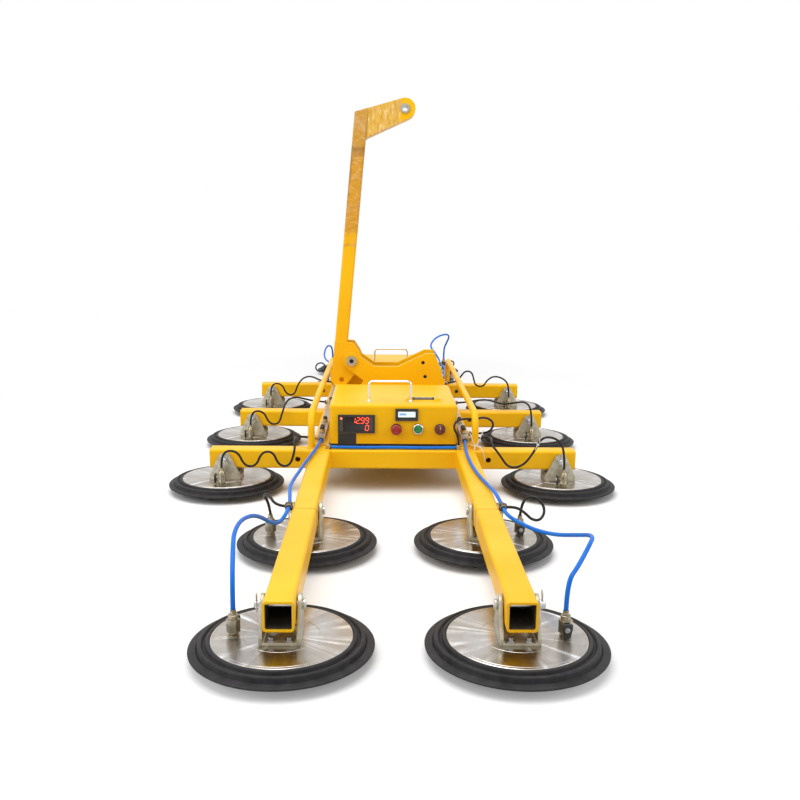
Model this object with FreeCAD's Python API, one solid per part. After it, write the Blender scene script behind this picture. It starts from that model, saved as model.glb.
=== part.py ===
import FreeCAD, Part
import math
import os

os.makedirs("parts", exist_ok=True)
V = FreeCAD.Vector

# Driving dimensions of the vacuum lifter, in millimetres.
# Z is up from the floor, X runs across the lifter and Y along its arms.
TUBE = 50.0            # side of every square frame tube
TUBE_WALL = 4.0
TUBE_CORNER = 6.0
PAD_R = 150.0          # suction pad over its rubber lip
SEAL_LIP = 35.0        # rubber outside the disc
DISC_T = 10.0
SEAL_FLANGE = 8.0      # rubber under the disc
SADDLE_T = 5.0         # base of the pad saddle
SADDLE_GAP = 23.0      # air between saddle base and tube
EAR_T = 6.0
EAR_GAP = 2.0          # clearance of each saddle ear from the tube
PIN_R = 6.0            # clevis pin of a pad
PIN_FIT = 0.06
ARM_X = 190.0          # long arms, from the middle
SIDE_X = 440.0         # pads on the cross tubes
CROSS_Y = 515.0        # front and rear cross tubes
CROSS_HALF = 480.0
ROW_NEAR = 975.0       # pads on the arms
ROW_FAR = 1465.0
ARM_JOINT = 1040.0     # where an arm's outer length plugs in
ARM_END = 1515.0
DECK_T = 4.0
HOOD_W = 340.0
HOOD_D = 320.0
HOOD_H = 110.0
SHEET = 2.0
PIVOT_X = -126.0       # tilt axle of the lifting mast
PIVOT_UP = 162.0       # axle above the deck
CHEEK_T = 12.0
MAST_W = 40.0
MAST_D = 60.0
MAST_OFF = 38.0        # mast centre line to the axle
MAST_H = 750.0
MAST_LEAN = 5.0        # degrees
BASE_T = 10.0
AXLE_R = 12.0
FIT = 0.05             # radial running clearance
SIDE_CLEAR = 1.0       # mast foot to each cheek
RAIL_X = 216.0         # guard rails, from the middle
RAIL_R = 9.0
HANDLE_R = 3.2         # rod of the hood handles
BLUE_R = 4.0           # hose radii
BLACK_R = 3.0
HOSE_GAP = 0.6         # hose end to its valve or fitting

DISC_R = PAD_R - SEAL_LIP
DISC_TOP = SEAL_FLANGE + DISC_T
TUBE_Z = DISC_TOP + SADDLE_T + SADDLE_GAP
TUBE_TOP = TUBE_Z + TUBE
PIN_Z = TUBE_Z + TUBE / 2
EAR_IN = TUBE / 2 + EAR_GAP
EAR_OUT = EAR_IN + EAR_T
DECK_TOP = TUBE_TOP + DECK_T
HOOD_TOP = DECK_TOP + HOOD_H
HOOD_FRONT = CROSS_Y - 20.0
HOOD_BACK = HOOD_FRONT - HOOD_D
PIVOT_Z = DECK_TOP + PIVOT_UP
CHEEK_IN = MAST_D / 2 + BASE_T + SIDE_CLEAR
CHEEK_OUT = CHEEK_IN + CHEEK_T
VALVE_OFF = EAR_OUT + 45.0
VALVE_TOP = DISC_TOP + 44.0
BAR_W = 20.0
BAR_X = HOOD_W / 2 + 13.0 + BAR_W / 2
BAR_Z = DECK_TOP + BAR_W / 2
BAR_END = CROSS_Y - 45.0
SIDE_PORTS = (-CROSS_Y + 60.0, 60.0, CROSS_Y - 60.0)
SPARE_PORT = -CROSS_Y + 120.0
LINK_X = 172.0         # cross-over elbows, from the middle
ELBOW_Y = CROSS_Y + 14.0
PORT_L = 14.0
TEE_Y = ROW_NEAR + 50.0
TEE_HALF = 14.0
TEE_Z = TUBE_TOP
RAIL_Z = DECK_TOP + 88.0


def box(x0, x1, y0, y1, z0, z1):
    return Part.makeBox(x1 - x0, y1 - y0, z1 - z0, V(x0, y0, z0))


def cyl(x, y, z, r, length, axis=(0, 0, 1)):
    return Part.makeCylinder(r, length, V(x, y, z), V(*axis))


def prism(points, axis, start, depth):
    """Closed outline pushed along Y (points are x, z), X (y, z) or Z (x, y)."""
    if axis == "y":
        corners = [V(a, start, b) for a, b in points]
        push = V(0, depth, 0)
    elif axis == "x":
        corners = [V(start, a, b) for a, b in points]
        push = V(depth, 0, 0)
    else:
        corners = [V(a, b, start) for a, b in points]
        push = V(0, 0, depth)
    return Part.Face(Part.makePolygon(corners + corners[:1])).extrude(push)


def tangent(point, centre, r, side):
    """Where a line from a point touches a circle, on its left (1) or right (-1)."""
    dx = point[0] - centre[0]
    dy = point[1] - centre[1]
    angle = math.atan2(dy, dx) + side * math.acos(r / math.hypot(dx, dy))
    return centre[0] + r * math.cos(angle), centre[1] + r * math.sin(angle)


def arc_points(centre, r, first, last, count=9):
    """Points on a circle between two angles in degrees."""
    turns = [math.radians(first + (last - first) * i / (count - 1)) for i in range(count)]
    return [(centre[0] + r * math.cos(t), centre[1] + r * math.sin(t)) for t in turns]


def hexagon(across):
    r = across / math.sqrt(3)
    return [(r * math.cos(math.radians(60 * i)), r * math.sin(math.radians(60 * i))) for i in range(6)]


def square_tube(along, first, last, centre, wide, deep, wall):
    """Rectangular hollow section with rounded corners, lying along X, Y or Z."""
    length = last - first

    def section(w, d, r):
        body = Part.makeBox(w, d, length, V(-w / 2, -d / 2, first))
        edges = [e for e in body.Edges if abs(e.Length - length) < 1e-6]
        return body.makeFillet(r, edges)

    tube = section(wide, deep, TUBE_CORNER)
    tube = tube.cut(section(wide - 2 * wall, deep - 2 * wall, TUBE_CORNER - wall * 0.75))
    if along == "x":
        tube.rotate(V(0, 0, 0), V(0, 1, 0), 90)
    elif along == "y":
        tube.rotate(V(0, 0, 0), V(1, 0, 0), -90)
    tube.translate(V(*centre))
    return tube


def bent_rod(points, r):
    """Round rod through points: straight runs joined by tangent arcs."""
    pts = [V(*p) for p in points]
    edges = []
    at = pts[0]
    for before, here, after in zip(pts, pts[1:], pts[2:]):
        a = here - before
        b = after - here
        turn = a.getAngle(b)
        back = 0.45 * min(a.Length, b.Length)
        a.normalize()
        b.normalize()
        enter = here - a * back
        leave = here + b * back
        radius = back / math.tan(turn / 2)
        middle_way = (b - a).normalize()
        middle = here + middle_way * (radius / math.cos(turn / 2) - radius)
        edges.append(Part.makeLine(at, enter))
        edges.append(Part.Arc(enter, middle, leave).toShape())
        at = leave
    edges.append(Part.makeLine(at, pts[-1]))
    wire = Part.Wire(edges)
    way = (pts[1] - pts[0]).normalize()
    ring = Part.Wire(Part.Circle(pts[0], way, r).toShape())
    return wire.makePipeShell([ring], True, True)


def save(name, *solids):
    shape = solids[0] if len(solids) == 1 else Part.makeCompound(solids)
    shape.exportStep("parts/" + name + ".step")


# Every pad: name, place, and the turn that puts its valve outboard of the tube.
PADS = []
for end, way in (("front", -1), ("rear", 1)):
    for side, sx in (("left", -1), ("right", 1)):
        for row, y in (("near", ROW_NEAR), ("far", ROW_FAR)):
            PADS.append((end + "_" + side + "_" + row, sx * ARM_X, way * y, 0 if sx > 0 else 180))
for side, sx in (("left", -1), ("right", 1)):
    for row, y in (("front", -CROSS_Y), ("middle", 0.0), ("rear", CROSS_Y)):
        PADS.append(("side_" + side + "_" + row, sx * SIDE_X, y, -90))


def placed(shape, x, y, turn):
    copy = shape.copy()
    copy.rotate(V(0, 0, 0), V(0, 0, 1), turn)
    copy.translate(V(x, y, 0))
    return copy


def pad_seal():
    """Moulded rubber ring: floor lip, two ribs and a bead round the disc."""
    lip = SEAL_LIP
    wall = DISC_R + 0.3
    outline = [
        (DISC_R - 11.0, 0.0), (PAD_R - 1.0, 0.0), (PAD_R, 1.5), (PAD_R, 3.0),
        (DISC_R + lip * 0.62, 6.0), (DISC_R + lip * 0.54, 12.5), (DISC_R + lip * 0.46, 14.5),
        (DISC_R + lip * 0.36, 14.5), (DISC_R + lip * 0.31, 12.5), (DISC_R + lip * 0.22, 12.5),
        (DISC_R + lip * 0.17, 16.5), (DISC_R + lip * 0.12, DISC_TOP),
        (wall, DISC_TOP), (wall, SEAL_FLANGE), (DISC_R - 11.0, SEAL_FLANGE)]
    corners = [V(r, 0, z) for r, z in outline]
    face = Part.Face(Part.makePolygon(corners + corners[:1]))
    return face.revolve(V(0, 0, 0), V(0, 0, 1), 360)


def pad_disc():
    """Turned disc with a broken top edge and the suction port under the valve."""
    disc = cyl(0, 0, SEAL_FLANGE, DISC_R, DISC_T)
    rim = [e for e in disc.Edges if e.BoundBox.ZMin > DISC_TOP - 1e-6]
    disc = disc.makeChamfer(1.0, rim)
    return disc.cut(cyl(VALVE_OFF, 0, SEAL_FLANGE - 1, 2.5, DISC_T + 2))


def pad_saddle():
    """Folded saddle: base plate and two tapered ears bored for the clevis pin."""
    half = 40.0
    base = box(-EAR_OUT, EAR_OUT, -half, half, DISC_TOP, DISC_TOP + SADDLE_T)
    crown = 18.0
    shoulder = DISC_TOP + SADDLE_T + 7.0
    left = tangent((-half, shoulder), (0.0, PIN_Z), crown, -1)
    right = tangent((half, shoulder), (0.0, PIN_Z), crown, 1)
    first = math.degrees(math.atan2(right[1] - PIN_Z, right[0]))
    last = math.degrees(math.atan2(left[1] - PIN_Z, left[0])) % 360
    outline = [(-half, DISC_TOP), (half, DISC_TOP), (half, shoulder)]
    outline += arc_points((0.0, PIN_Z), crown, first, last)
    outline += [(-half, shoulder)]
    for start in (-EAR_OUT, EAR_IN):
        base = base.fuse(prism(outline, "x", start, EAR_T))
    base = base.cut(cyl(-EAR_OUT - 1, 0, PIN_Z, PIN_R + PIN_FIT, 2 * EAR_OUT + 2, (1, 0, 0)))
    return base.removeSplitter()


def pad_valve():
    """Ball valve body with hose spigot, and its lever hanging open beside it."""
    z = DISC_TOP
    body = cyl(VALVE_OFF, 0, z, 6.0, 7.0)
    hexed = prism(hexagon(20.0), "z", z + 6.0, 22.0)
    hexed.translate(V(VALVE_OFF, 0, 0))
    body = body.fuse(hexed)
    body = body.fuse(cyl(VALVE_OFF, 0, z + 27.0, 8.0, 9.0))
    body = body.fuse(cyl(VALVE_OFF, 0, z + 35.0, 5.0, VALVE_TOP - z - 35.0))
    body = body.fuse(cyl(VALVE_OFF, 0, z + 17.0, 3.0, 14.0, (0, -1, 0)))
    body = body.cut(cyl(VALVE_OFF, 0, z - 1, 2.5, VALVE_TOP - z + 2))
    outline = [(-6.0, 3.0), (6.0, 3.0), (9.0, 20.0), (9.0, 27.0), (-9.0, 27.0), (-9.0, 20.0)]
    outline = [(VALVE_OFF + a, z + b) for a, b in outline]
    lever = prism(outline, "y", -19.0, 5.0)
    return body.removeSplitter(), lever


def clevis_pin():
    """Headed pin through ears and tube, with a keeper collar on the valve side."""
    head = EAR_OUT + 1.0
    pin = cyl(-head, 0, PIN_Z, PIN_R, 2 * head + 10.0, (1, 0, 0))
    pin = pin.fuse(cyl(-head - 5.0, 0, PIN_Z, 9.0, 5.0, (1, 0, 0)))
    return pin.fuse(cyl(head, 0, PIN_Z, 8.0, 3.0, (1, 0, 0)))


def pads():
    seal = pad_seal()
    disc = pad_disc()
    saddle = pad_saddle()
    valve, lever = pad_valve()
    pin = clevis_pin()
    pins = []
    for name, x, y, turn in PADS:
        save(name + "_seal", placed(seal, x, y, turn))
        save(name + "_head", *[placed(s, x, y, turn) for s in (disc, saddle, valve, lever)])
        pins.append(placed(pin, x, y, turn))
    save("clevis_pins", *pins)


def frame():
    """Three cross tubes, four rails between them and four arms, each in two lengths."""
    middle = TUBE_Z + TUBE / 2
    half = TUBE / 2
    hole = PIN_R + PIN_FIT
    crosses = []
    for y in (-CROSS_Y, 0.0, CROSS_Y):
        tube = square_tube("x", -CROSS_HALF, CROSS_HALF, (0, y, middle), TUBE, TUBE, TUBE_WALL)
        for sx in (-1, 1):
            for x, r in ((SIDE_X, hole), (ARM_X + 60.0, 7.0)):
                tube = tube.cut(cyl(sx * x, y - half - 1, PIN_Z, r, TUBE + 2, (0, 1, 0)))
        crosses.append(tube)
    save("cross_tubes", *crosses)
    rails = []
    arms = []
    for sx in (-1, 1):
        for sy in (-1, 1):
            first, last = sorted((sy * half, sy * (CROSS_Y - half)))
            rails.append(square_tube("y", first, last, (sx * ARM_X, 0, middle), TUBE, TUBE, TUBE_WALL))
            for start, end, y in ((CROSS_Y + half, ARM_JOINT, ROW_NEAR), (ARM_JOINT, ARM_END, ROW_FAR)):
                first, last = sorted((sy * start, sy * end))
                arm = square_tube("y", first, last, (sx * ARM_X, 0, middle), TUBE, TUBE, TUBE_WALL)
                bore = cyl(sx * ARM_X - half - 1, sy * y, PIN_Z, hole, TUBE + 2, (1, 0, 0))
                arms.append(arm.cut(bore))
    save("frame_rails", *rails)
    save("extension_arms", *arms)
    edge = CROSS_Y - half
    save("deck_plate", box(-ARM_X - half, ARM_X + half, -edge, edge, TUBE_TOP, DECK_TOP))


def guard_rails():
    """Bent pipe down each side, standing on the front and rear cross tubes."""
    pipes = []
    for sx in (-1, 1):
        x = sx * RAIL_X
        path = [(x, -CROSS_Y, TUBE_TOP), (x, -CROSS_Y, RAIL_Z)]
        path += [(x, CROSS_Y, RAIL_Z), (x, CROSS_Y, TUBE_TOP)]
        pipes.append(bent_rod(path, RAIL_R))
    save("guard_rails", *pipes)


def hood_shell(holes):
    """Folded sheet cover, open below, with rounded top edges."""
    w = HOOD_W / 2

    def block(inset, r):
        low = DECK_TOP - (1 if inset else 0)
        front = -HOOD_FRONT + inset
        body = box(-w + inset, w - inset, front, -HOOD_BACK - inset, low, HOOD_TOP - inset)
        top = [e for e in body.Edges if e.BoundBox.ZMin > HOOD_TOP - inset - 1e-6]
        posts = [e for e in body.Edges if e.BoundBox.ZLength > HOOD_H / 2]
        return body.makeFillet(r, top + posts)

    shell = block(0.0, 9.0).cut(block(SHEET, 9.0 - SHEET))
    for hole in holes:
        shell = shell.cut(hole)
    return shell


METER = (-147.0, -49.0, 133.0, 182.0)
GAUGE = (5.0, 65.0, 167.0, 199.0)
SWITCH_X = (8.0, 66.0, 124.0)
SWITCH_UP = 44.0
SWITCH_R = 11.0
PLUNGER_R = 9.0


def hoods():
    """Control hood with its panel cut-outs, and the plain rear hood."""
    lift = DECK_TOP - 100.0
    outside = -HOOD_FRONT - 1
    holes = []
    for x0, x1, z0, z1 in (METER, GAUGE):
        holes.append(box(x0 + 3.5, x1 - 3.5, outside, outside + 6, z0 + 2.5 + lift, z1 - 2.5 + lift))
    for x in SWITCH_X:
        holes.append(cyl(x, outside, DECK_TOP + SWITCH_UP, SWITCH_R + 0.3, 6, (0, 1, 0)))
    save("control_hood", hood_shell(holes))
    rear = hood_shell([])
    rear.rotate(V(0, 0, 0), V(0, 0, 1), 180)
    save("rear_hood", rear)
    grips = []
    for x, y in ((-9.5, -HOOD_FRONT + 46.0), (0.0, HOOD_BACK + 55.0)):
        z = HOOD_TOP + 54
        path = [(x - 56, y, HOOD_TOP), (x - 56, y, z), (x - 34, y, z)]
        path += [(x + 34, y, z + 0.5), (x + 56, y, z), (x + 56, y, HOOD_TOP)]
        grips.append(bent_rod(path, HANDLE_R))
    save("hood_handles", *grips)


def panel():
    """Instruments and switches carried by the front of the control hood."""
    lift = DECK_TOP - 100.0
    face = -HOOD_FRONT
    units = (("panel_meter", METER, 6.0, 62.0), ("battery_gauge", GAUGE, 5.0, 22.0))
    for name, (x0, x1, z0, z1), proud, deep in units:
        z0 += lift
        z1 += lift
        unit = box(x0, x1, face - proud, face, z0, z1)
        unit = unit.fuse(box(x0 + 4, x1 - 4, face - 1, face + deep, z0 + 3, z1 - 3))
        pieces = [unit.cut(box(x0 + 5, x1 - 5, face - proud - 1, face - proud + 1.5, z0 + 5, z1 - 5))]
        if name == "panel_meter":
            pieces.append(box(x0, x0 + 48, face - 1.5, face, z0 - 30, z0 - 2))
        save(name, *pieces)
    z = DECK_TOP + SWITCH_UP
    bodies = []
    for x in SWITCH_X:
        body = cyl(x, face - 4, z, 14.5, 4.0, (0, 1, 0))
        body = body.fuse(cyl(x, face - 1, z, SWITCH_R, 26.0, (0, 1, 0)))
        body = body.fuse(box(x - 15, x + 15, face + 24, face + 62, z - 20, z + 20))
        bodies.append(body.cut(cyl(x, face - 5, z, PLUNGER_R + FIT, 40.0, (0, 1, 0))))
    save("switch_bodies", *bodies)
    x = SWITCH_X[0]
    stop = cyl(x, face - 18, z, 14.0, 8.5, (0, 1, 0))
    save("stop_button", stop.fuse(cyl(x, face - 10, z, PLUNGER_R, 35.0, (0, 1, 0))))
    x = SWITCH_X[1]
    save("start_button", cyl(x, face - 9.5, z, PLUNGER_R, 34.5, (0, 1, 0)))
    x = SWITCH_X[2]
    knob = cyl(x, face - 11, z, 13.0, 6.7, (0, 1, 0))
    knob = knob.fuse(cyl(x, face - 5, z, PLUNGER_R, 30.0, (0, 1, 0)))
    save("selector_knob", knob.fuse(box(x - 3.5, x + 3.5, face - 19, face - 10.5, z - 11, z + 11)))
    x0, x1, y = 33.0, 129.0, face + 65.0
    level = box(x0, x1, y - 8, y + 8, HOOD_TOP, HOOD_TOP + 8)
    level = level.cut(box(x0 + 19, x1 - 18, y - 9, y + 9, HOOD_TOP + 1, HOOD_TOP + 9))
    save("spirit_level", level, cyl(x0 + 19, y, HOOD_TOP + 4.2, 3.2, x1 - x0 - 37, (1, 0, 0)))


def equipment():
    """What the hoods cover: battery, pump, release valve and control board."""
    room = HOOD_W / 2 - 20.0
    y = HOOD_BACK + 45.0
    battery = box(-room, 181 - room, y, y + 77, DECK_TOP, DECK_TOP + 88)
    posts = [box(x, x + 12, y + 8, y + 20, DECK_TOP + 88, DECK_TOP + 94) for x in (8 - room, 161 - room)]
    save("battery", battery, *posts)
    y = HOOD_BACK + 215.0
    x = 10.0 - room
    pump = box(x, x + 230, y - 45, y + 45, DECK_TOP, DECK_TOP + 6)
    pump = pump.fuse(cyl(x + 10, y, DECK_TOP + 46, 36, 120, (1, 0, 0)))
    pump = pump.fuse(box(x + 30, x + 110, y - 20, y + 20, DECK_TOP + 5, DECK_TOP + 30))
    save("vacuum_pump", pump.fuse(box(x + 130, x + 210, y - 38, y + 38, DECK_TOP + 5, DECK_TOP + 92)))
    y = -HOOD_FRONT + 200.0
    x = room - 10.0
    valve = box(x - 70, x, y, y + 40, DECK_TOP, DECK_TOP + 40)
    save("release_valve", valve.fuse(cyl(x - 35, y + 20, DECK_TOP + 39, 16, 44)))
    board = box(-x, x - 100, y - 60, y + 70, DECK_TOP + 14, DECK_TOP + 16)
    feet = [cyl(a, b, DECK_TOP, 4, 14) for a in (10 - x, x - 110) for b in (y - 50, y + 60)]
    save("control_board", board, *feet)


def cheek(lobe):
    """Tilt bracket plate: axle horn on one side, parking horn with two holes on the other."""
    foot = DECK_TOP
    left = -HOOD_W / 2 - 8.0
    axle = (PIVOT_X, PIVOT_Z)
    outline = [(left, foot)]
    if lobe:
        outline += [(left, PIVOT_Z - 30.0)]
        outline += [(PIVOT_X - 20.0, PIVOT_Z + 20.0)]
    else:
        outline += [(left, foot + 86.0), (PIVOT_X + 28.0, foot + 86.0), (PIVOT_X + 38.0, foot + 100.0)]
        outline += [(PIVOT_X - 20.0, PIVOT_Z - 18.0)]
    outline += arc_points(axle, 27.0, 135.0 if lobe else 222.0, 50.0)
    outline += [(-55.0, PIVOT_Z - 16.0), (20.0, PIVOT_Z - 16.0), (65.0, PIVOT_Z + 6.0)]
    outline += [(105.0, PIVOT_Z + 25.0), (134.0, PIVOT_Z + 25.0)]
    outline += [(-left - 12.0, foot + 100.0), (-left, foot)]
    return prism(outline, "y", 0.0, CHEEK_T)


LOCK = (-26.0, -64.0)   # lock bolt from the axle, with the mast upright
LOCK_R = 7.0


def leaned(x, z):
    """A point of the mast, from the axle, as it stands at rest."""
    a = math.radians(MAST_LEAN)
    return PIVOT_X + x * math.cos(a) + z * math.sin(a), PIVOT_Z - x * math.sin(a) + z * math.cos(a)


def bracket():
    """Two cheeks with spacers, the axle bolt and the sprung lock bolt."""
    lock_x, lock_z = leaned(*LOCK)
    pieces = []
    for y, lobe in ((-CHEEK_OUT, False), (CHEEK_IN, True)):
        plate = cheek(lobe)
        plate.translate(V(0, y, 0))
        plate = plate.cut(cyl(PIVOT_X, y - 1, PIVOT_Z, AXLE_R + FIT, CHEEK_T + 2, (0, 1, 0)))
        for x, dz in ((97.0, -4.0), (104.0, -48.0)):
            plate = plate.cut(cyl(x, y - 1, PIVOT_Z + dz, 5.5, CHEEK_T + 2, (0, 1, 0)))
        if lobe:
            plate = plate.cut(cyl(lock_x, y - 1, lock_z, LOCK_R + FIT, CHEEK_T + 2, (0, 1, 0)))
        pieces.append(plate)
    for x in (-20.0, 110.0):
        pieces.append(cyl(x, -CHEEK_IN, DECK_TOP + 45.0, 12.0, 2 * CHEEK_IN, (0, 1, 0)))
    sleeve = cyl(lock_x, CHEEK_OUT, lock_z, 13.0, 24.0, (0, 1, 0))
    pieces.append(sleeve.cut(cyl(lock_x, CHEEK_OUT - 1, lock_z, LOCK_R + FIT, 26.0, (0, 1, 0))))
    save("pivot_cheeks", *pieces)
    bolt = cyl(PIVOT_X, -CHEEK_OUT, PIVOT_Z, AXLE_R, 2 * CHEEK_OUT + 18.0, (0, 1, 0))
    bolt = bolt.fuse(cyl(PIVOT_X, -CHEEK_OUT - 7.0, PIVOT_Z, 16.0, 7.0, (0, 1, 0)))
    bolt = bolt.cut(cyl(PIVOT_X, -CHEEK_OUT - 8.0, PIVOT_Z, 6.5, 7.0, (0, 1, 0)))
    nut = prism([(PIVOT_X + a, PIVOT_Z + b) for a, b in hexagon(36.0)], "y", CHEEK_OUT, 16.0)
    nut = nut.cut(cyl(PIVOT_X, CHEEK_OUT - 1, PIVOT_Z, AXLE_R, 18.0, (0, 1, 0)))
    save("pivot_bolt", bolt, nut)
    start = CHEEK_IN + 1.0
    pin = cyl(lock_x, start, lock_z, LOCK_R, CHEEK_OUT + 42.0 - start, (0, 1, 0))
    save("lock_bolt", pin.fuse(cyl(lock_x, CHEEK_OUT + 41.0, lock_z, 14.0, 16.0, (0, 1, 0))))


def mast():
    """Leaning mast: hollow tube, foot plates with bushes, gooseneck and lifting eye."""
    left = -MAST_OFF - MAST_W / 2
    right = left + MAST_W
    eye = (92.0, MAST_H + 22.0)
    eye_r = 31.0
    bush_r = 17.0
    pieces = {}
    tube = square_tube("z", -78.0, MAST_H + 12.0, (-MAST_OFF, 0, 0), MAST_W, MAST_D, 4.0)
    under = tangent((right, MAST_H - 76.0), eye, eye_r, 1)
    over = tangent((left, MAST_H - 3.0), eye, eye_r, -1)
    slope = (over[1] - MAST_H + 3.0) / (over[0] - left)
    roof = [(left - 1, MAST_H - 3.0 - slope), (right + 1, MAST_H - 3.0 + slope * (MAST_W + 1))]
    roof += [(right + 1, MAST_H + 40.0), (left - 1, MAST_H + 40.0)]
    pieces["mast_tube"] = [tube.cut(prism(roof, "y", -MAST_D, 2 * MAST_D))]
    first = math.degrees(math.atan2(under[1] - eye[1], under[0] - eye[0]))
    last = math.degrees(math.atan2(over[1] - eye[1], over[0] - eye[0]))
    outline = [(right, MAST_H - 76.0)] + arc_points(eye, eye_r, first, last, 15)
    outline += [(right, MAST_H - 3.0 + slope * MAST_W)]
    neck = prism(outline, "y", -25.0, 50.0)
    inner = [(right + 1.0, MAST_H - 62.0), (eye[0] - 24.0, eye[1] - 24.0)]
    inner += [(eye[0] - 24.0, eye[1] + 12.0), (right + 1.0, MAST_H + slope * MAST_W - 10.0)]
    neck = neck.cut(prism(inner, "y", -18.0, 36.0))
    neck = neck.cut(cyl(eye[0], -30, eye[1], 14.0, 60.0, (0, 1, 0)))
    pieces["gooseneck"] = [neck]
    ring = cyl(eye[0], -29, eye[1], 14.0, 58.0, (0, 1, 0))
    pieces["eye_bush"] = [ring.cut(cyl(eye[0], -30, eye[1], 8.5, 60.0, (0, 1, 0)))]
    foot = [(left, -72.0), (left, 55.0), (2.0, 55.0), (22.0, 30.0), (33.0, 8.0), (33.0, -10.0)]
    foot += [(20.0, -34.0), (-14.0, -84.0), (left + 12.0, -84.0)]
    plates = []
    for y in (-MAST_D / 2 - BASE_T, MAST_D / 2):
        plate = prism(foot, "y", y, BASE_T).cut(cyl(0, y - 1, 0, bush_r, BASE_T + 2, (0, 1, 0)))
        plates.append(plate.cut(cyl(LOCK[0], y - 1, LOCK[1], LOCK_R + 0.4, BASE_T + 2, (0, 1, 0))))
    pieces["mast_foot_plates"] = plates
    wide = MAST_D / 2 + BASE_T
    bush = cyl(0, -wide, 0, bush_r, 2 * wide, (0, 1, 0))
    pieces["pivot_bush"] = [bush.cut(cyl(0, -wide - 1, 0, AXLE_R + FIT, 2 * wide + 2, (0, 1, 0)))]
    for name, solids in pieces.items():
        for solid in solids:
            solid.rotate(V(0, 0, 0), V(0, 1, 0), MAST_LEAN)
            solid.translate(V(PIVOT_X, 0, PIVOT_Z))
        save(name, *solids)


def plumbing():
    """Manifold bar along each side, its ports, the arm tees and the cross-over elbows."""
    bars = []
    fittings = []
    for sx in (-1, 1):
        x = sx * BAR_X
        bar = box(x - BAR_W / 2, x + BAR_W / 2, -BAR_END, BAR_END, DECK_TOP, DECK_TOP + BAR_W)
        bars.append(bar.cut(cyl(x, -BAR_END - 1, BAR_Z, 4.0, 2 * BAR_END + 2, (0, 1, 0))))
        for y in SIDE_PORTS + ((SPARE_PORT,) if sx > 0 else ()):
            fittings.append(cyl(x + sx * BAR_W / 2, y, BAR_Z, 7.0, PORT_L, (sx, 0, 0)))
        for sy in (-1, 1):
            fittings.append(cyl(x, sy * BAR_END, BAR_Z, 7.0, PORT_L, (0, sy, 0)))
            face = sx * (ARM_X + TUBE / 2)
            x0, x1 = sorted((face, face + sx * 16.0))
            fittings.append(box(x0, x1, sy * TEE_Y - TEE_HALF, sy * TEE_Y + TEE_HALF, TEE_Z - 10, TEE_Z + 10))
            x0 = sx * LINK_X - 7
            y0 = sy * ELBOW_Y - 7
            fittings.append(box(x0, x0 + 14, y0, y0 + 14, TUBE_TOP, TUBE_TOP + 14))
    save("manifold_bars", *bars)
    save("hose_fittings", *fittings)


def arm_hose(sx):
    """Manifold end to the tee past the near pad: over the arm on the right, beside it on the left."""
    tee = TEE_Y - TEE_HALF - HOSE_GAP
    start = BAR_END + PORT_L + HOSE_GAP
    x = ARM_X + TUBE / 2 + 8.0
    z = TUBE_TOP + BLUE_R + 1.5
    span = (ROW_NEAR - CROSS_Y) / 460.0
    path = [(BAR_X, start, BAR_Z)]
    if sx > 0:
        path += [(ARM_X - 4, CROSS_Y + 45, z + 6), (ARM_X - 3, CROSS_Y + 135 * span, z + 1)]
        path += [(ARM_X + 1, CROSS_Y + 220 * span, z), (ARM_X + 9, CROSS_Y + 300 * span, z)]
        path += [(ARM_X + 20, CROSS_Y + 375 * span, z + 0.5), (x - 4, ROW_NEAR - 20, z + 1.5)]
    else:
        path += [(ARM_X + 9, CROSS_Y + 33, z + 4.5), (ARM_X + 18, CROSS_Y + 100 * span, z + 1.5)]
        path += [(x - 6, CROSS_Y + 175 * span, z + 0.5), (x + 2, CROSS_Y + 250 * span, z - 0.5)]
        path += [(x + 9, CROSS_Y + 325 * span, z - 1), (x + 11, CROSS_Y + 390 * span, z - 0.5)]
        path += [(x + 4, ROW_NEAR - 9, z - 2)]
    path += [(x, tee, TEE_Z)]
    return [(sx * a, -b, c) for a, b, c in path]


FAR_LOOPS = {
    "wide": [(1.5, 30, -2), (21, 72, -5), (47, 122, -4), (75, 177, 6), (100, 245, 30), (114, 305, 51),
             (95, 355, 51), (69, 394, 29)],
    "high": [(1, 28, -2.5), (12, 65, -11), (24, 105, 4), (35, 150, 30), (46, 200, 50), (57, 260, 60),
             (59, 318, 57), (53, 366, 45)],
    "low": [(1, 28, -2.5), (14, 65, -11), (39, 120, -16), (61, 185, -16), (75, 255, -8), (77, 325, 12),
            (65, 380, 30)],
    "tall": [(1, 28, 2.5), (-2, 70, 12), (-17, 120, 33), (-36, 175, 54), (-18, 235, 76), (14, 290, 90),
             (54, 335, 93), (66, 372, 75), (55, 405, 40)]}


def far_hose(sx, loop):
    """Arm tee to the valve of the far pad in a loop."""
    x = ARM_X + TUBE / 2 + 8.0
    y = TEE_Y + TEE_HALF + HOSE_GAP
    end = ARM_X + VALVE_OFF
    z = VALVE_TOP + HOSE_GAP
    reach = (ROW_FAR - ROW_NEAR) / 490.0
    path = [(x, y, TEE_Z)] + [(x + a, y + b * reach, TEE_Z + c) for a, b, c in FAR_LOOPS[loop]]
    path += [(end, ROW_FAR, z + 48.0), (end, ROW_FAR, z)]
    return [(sx * a, -b, c) for a, b, c in path]


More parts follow.
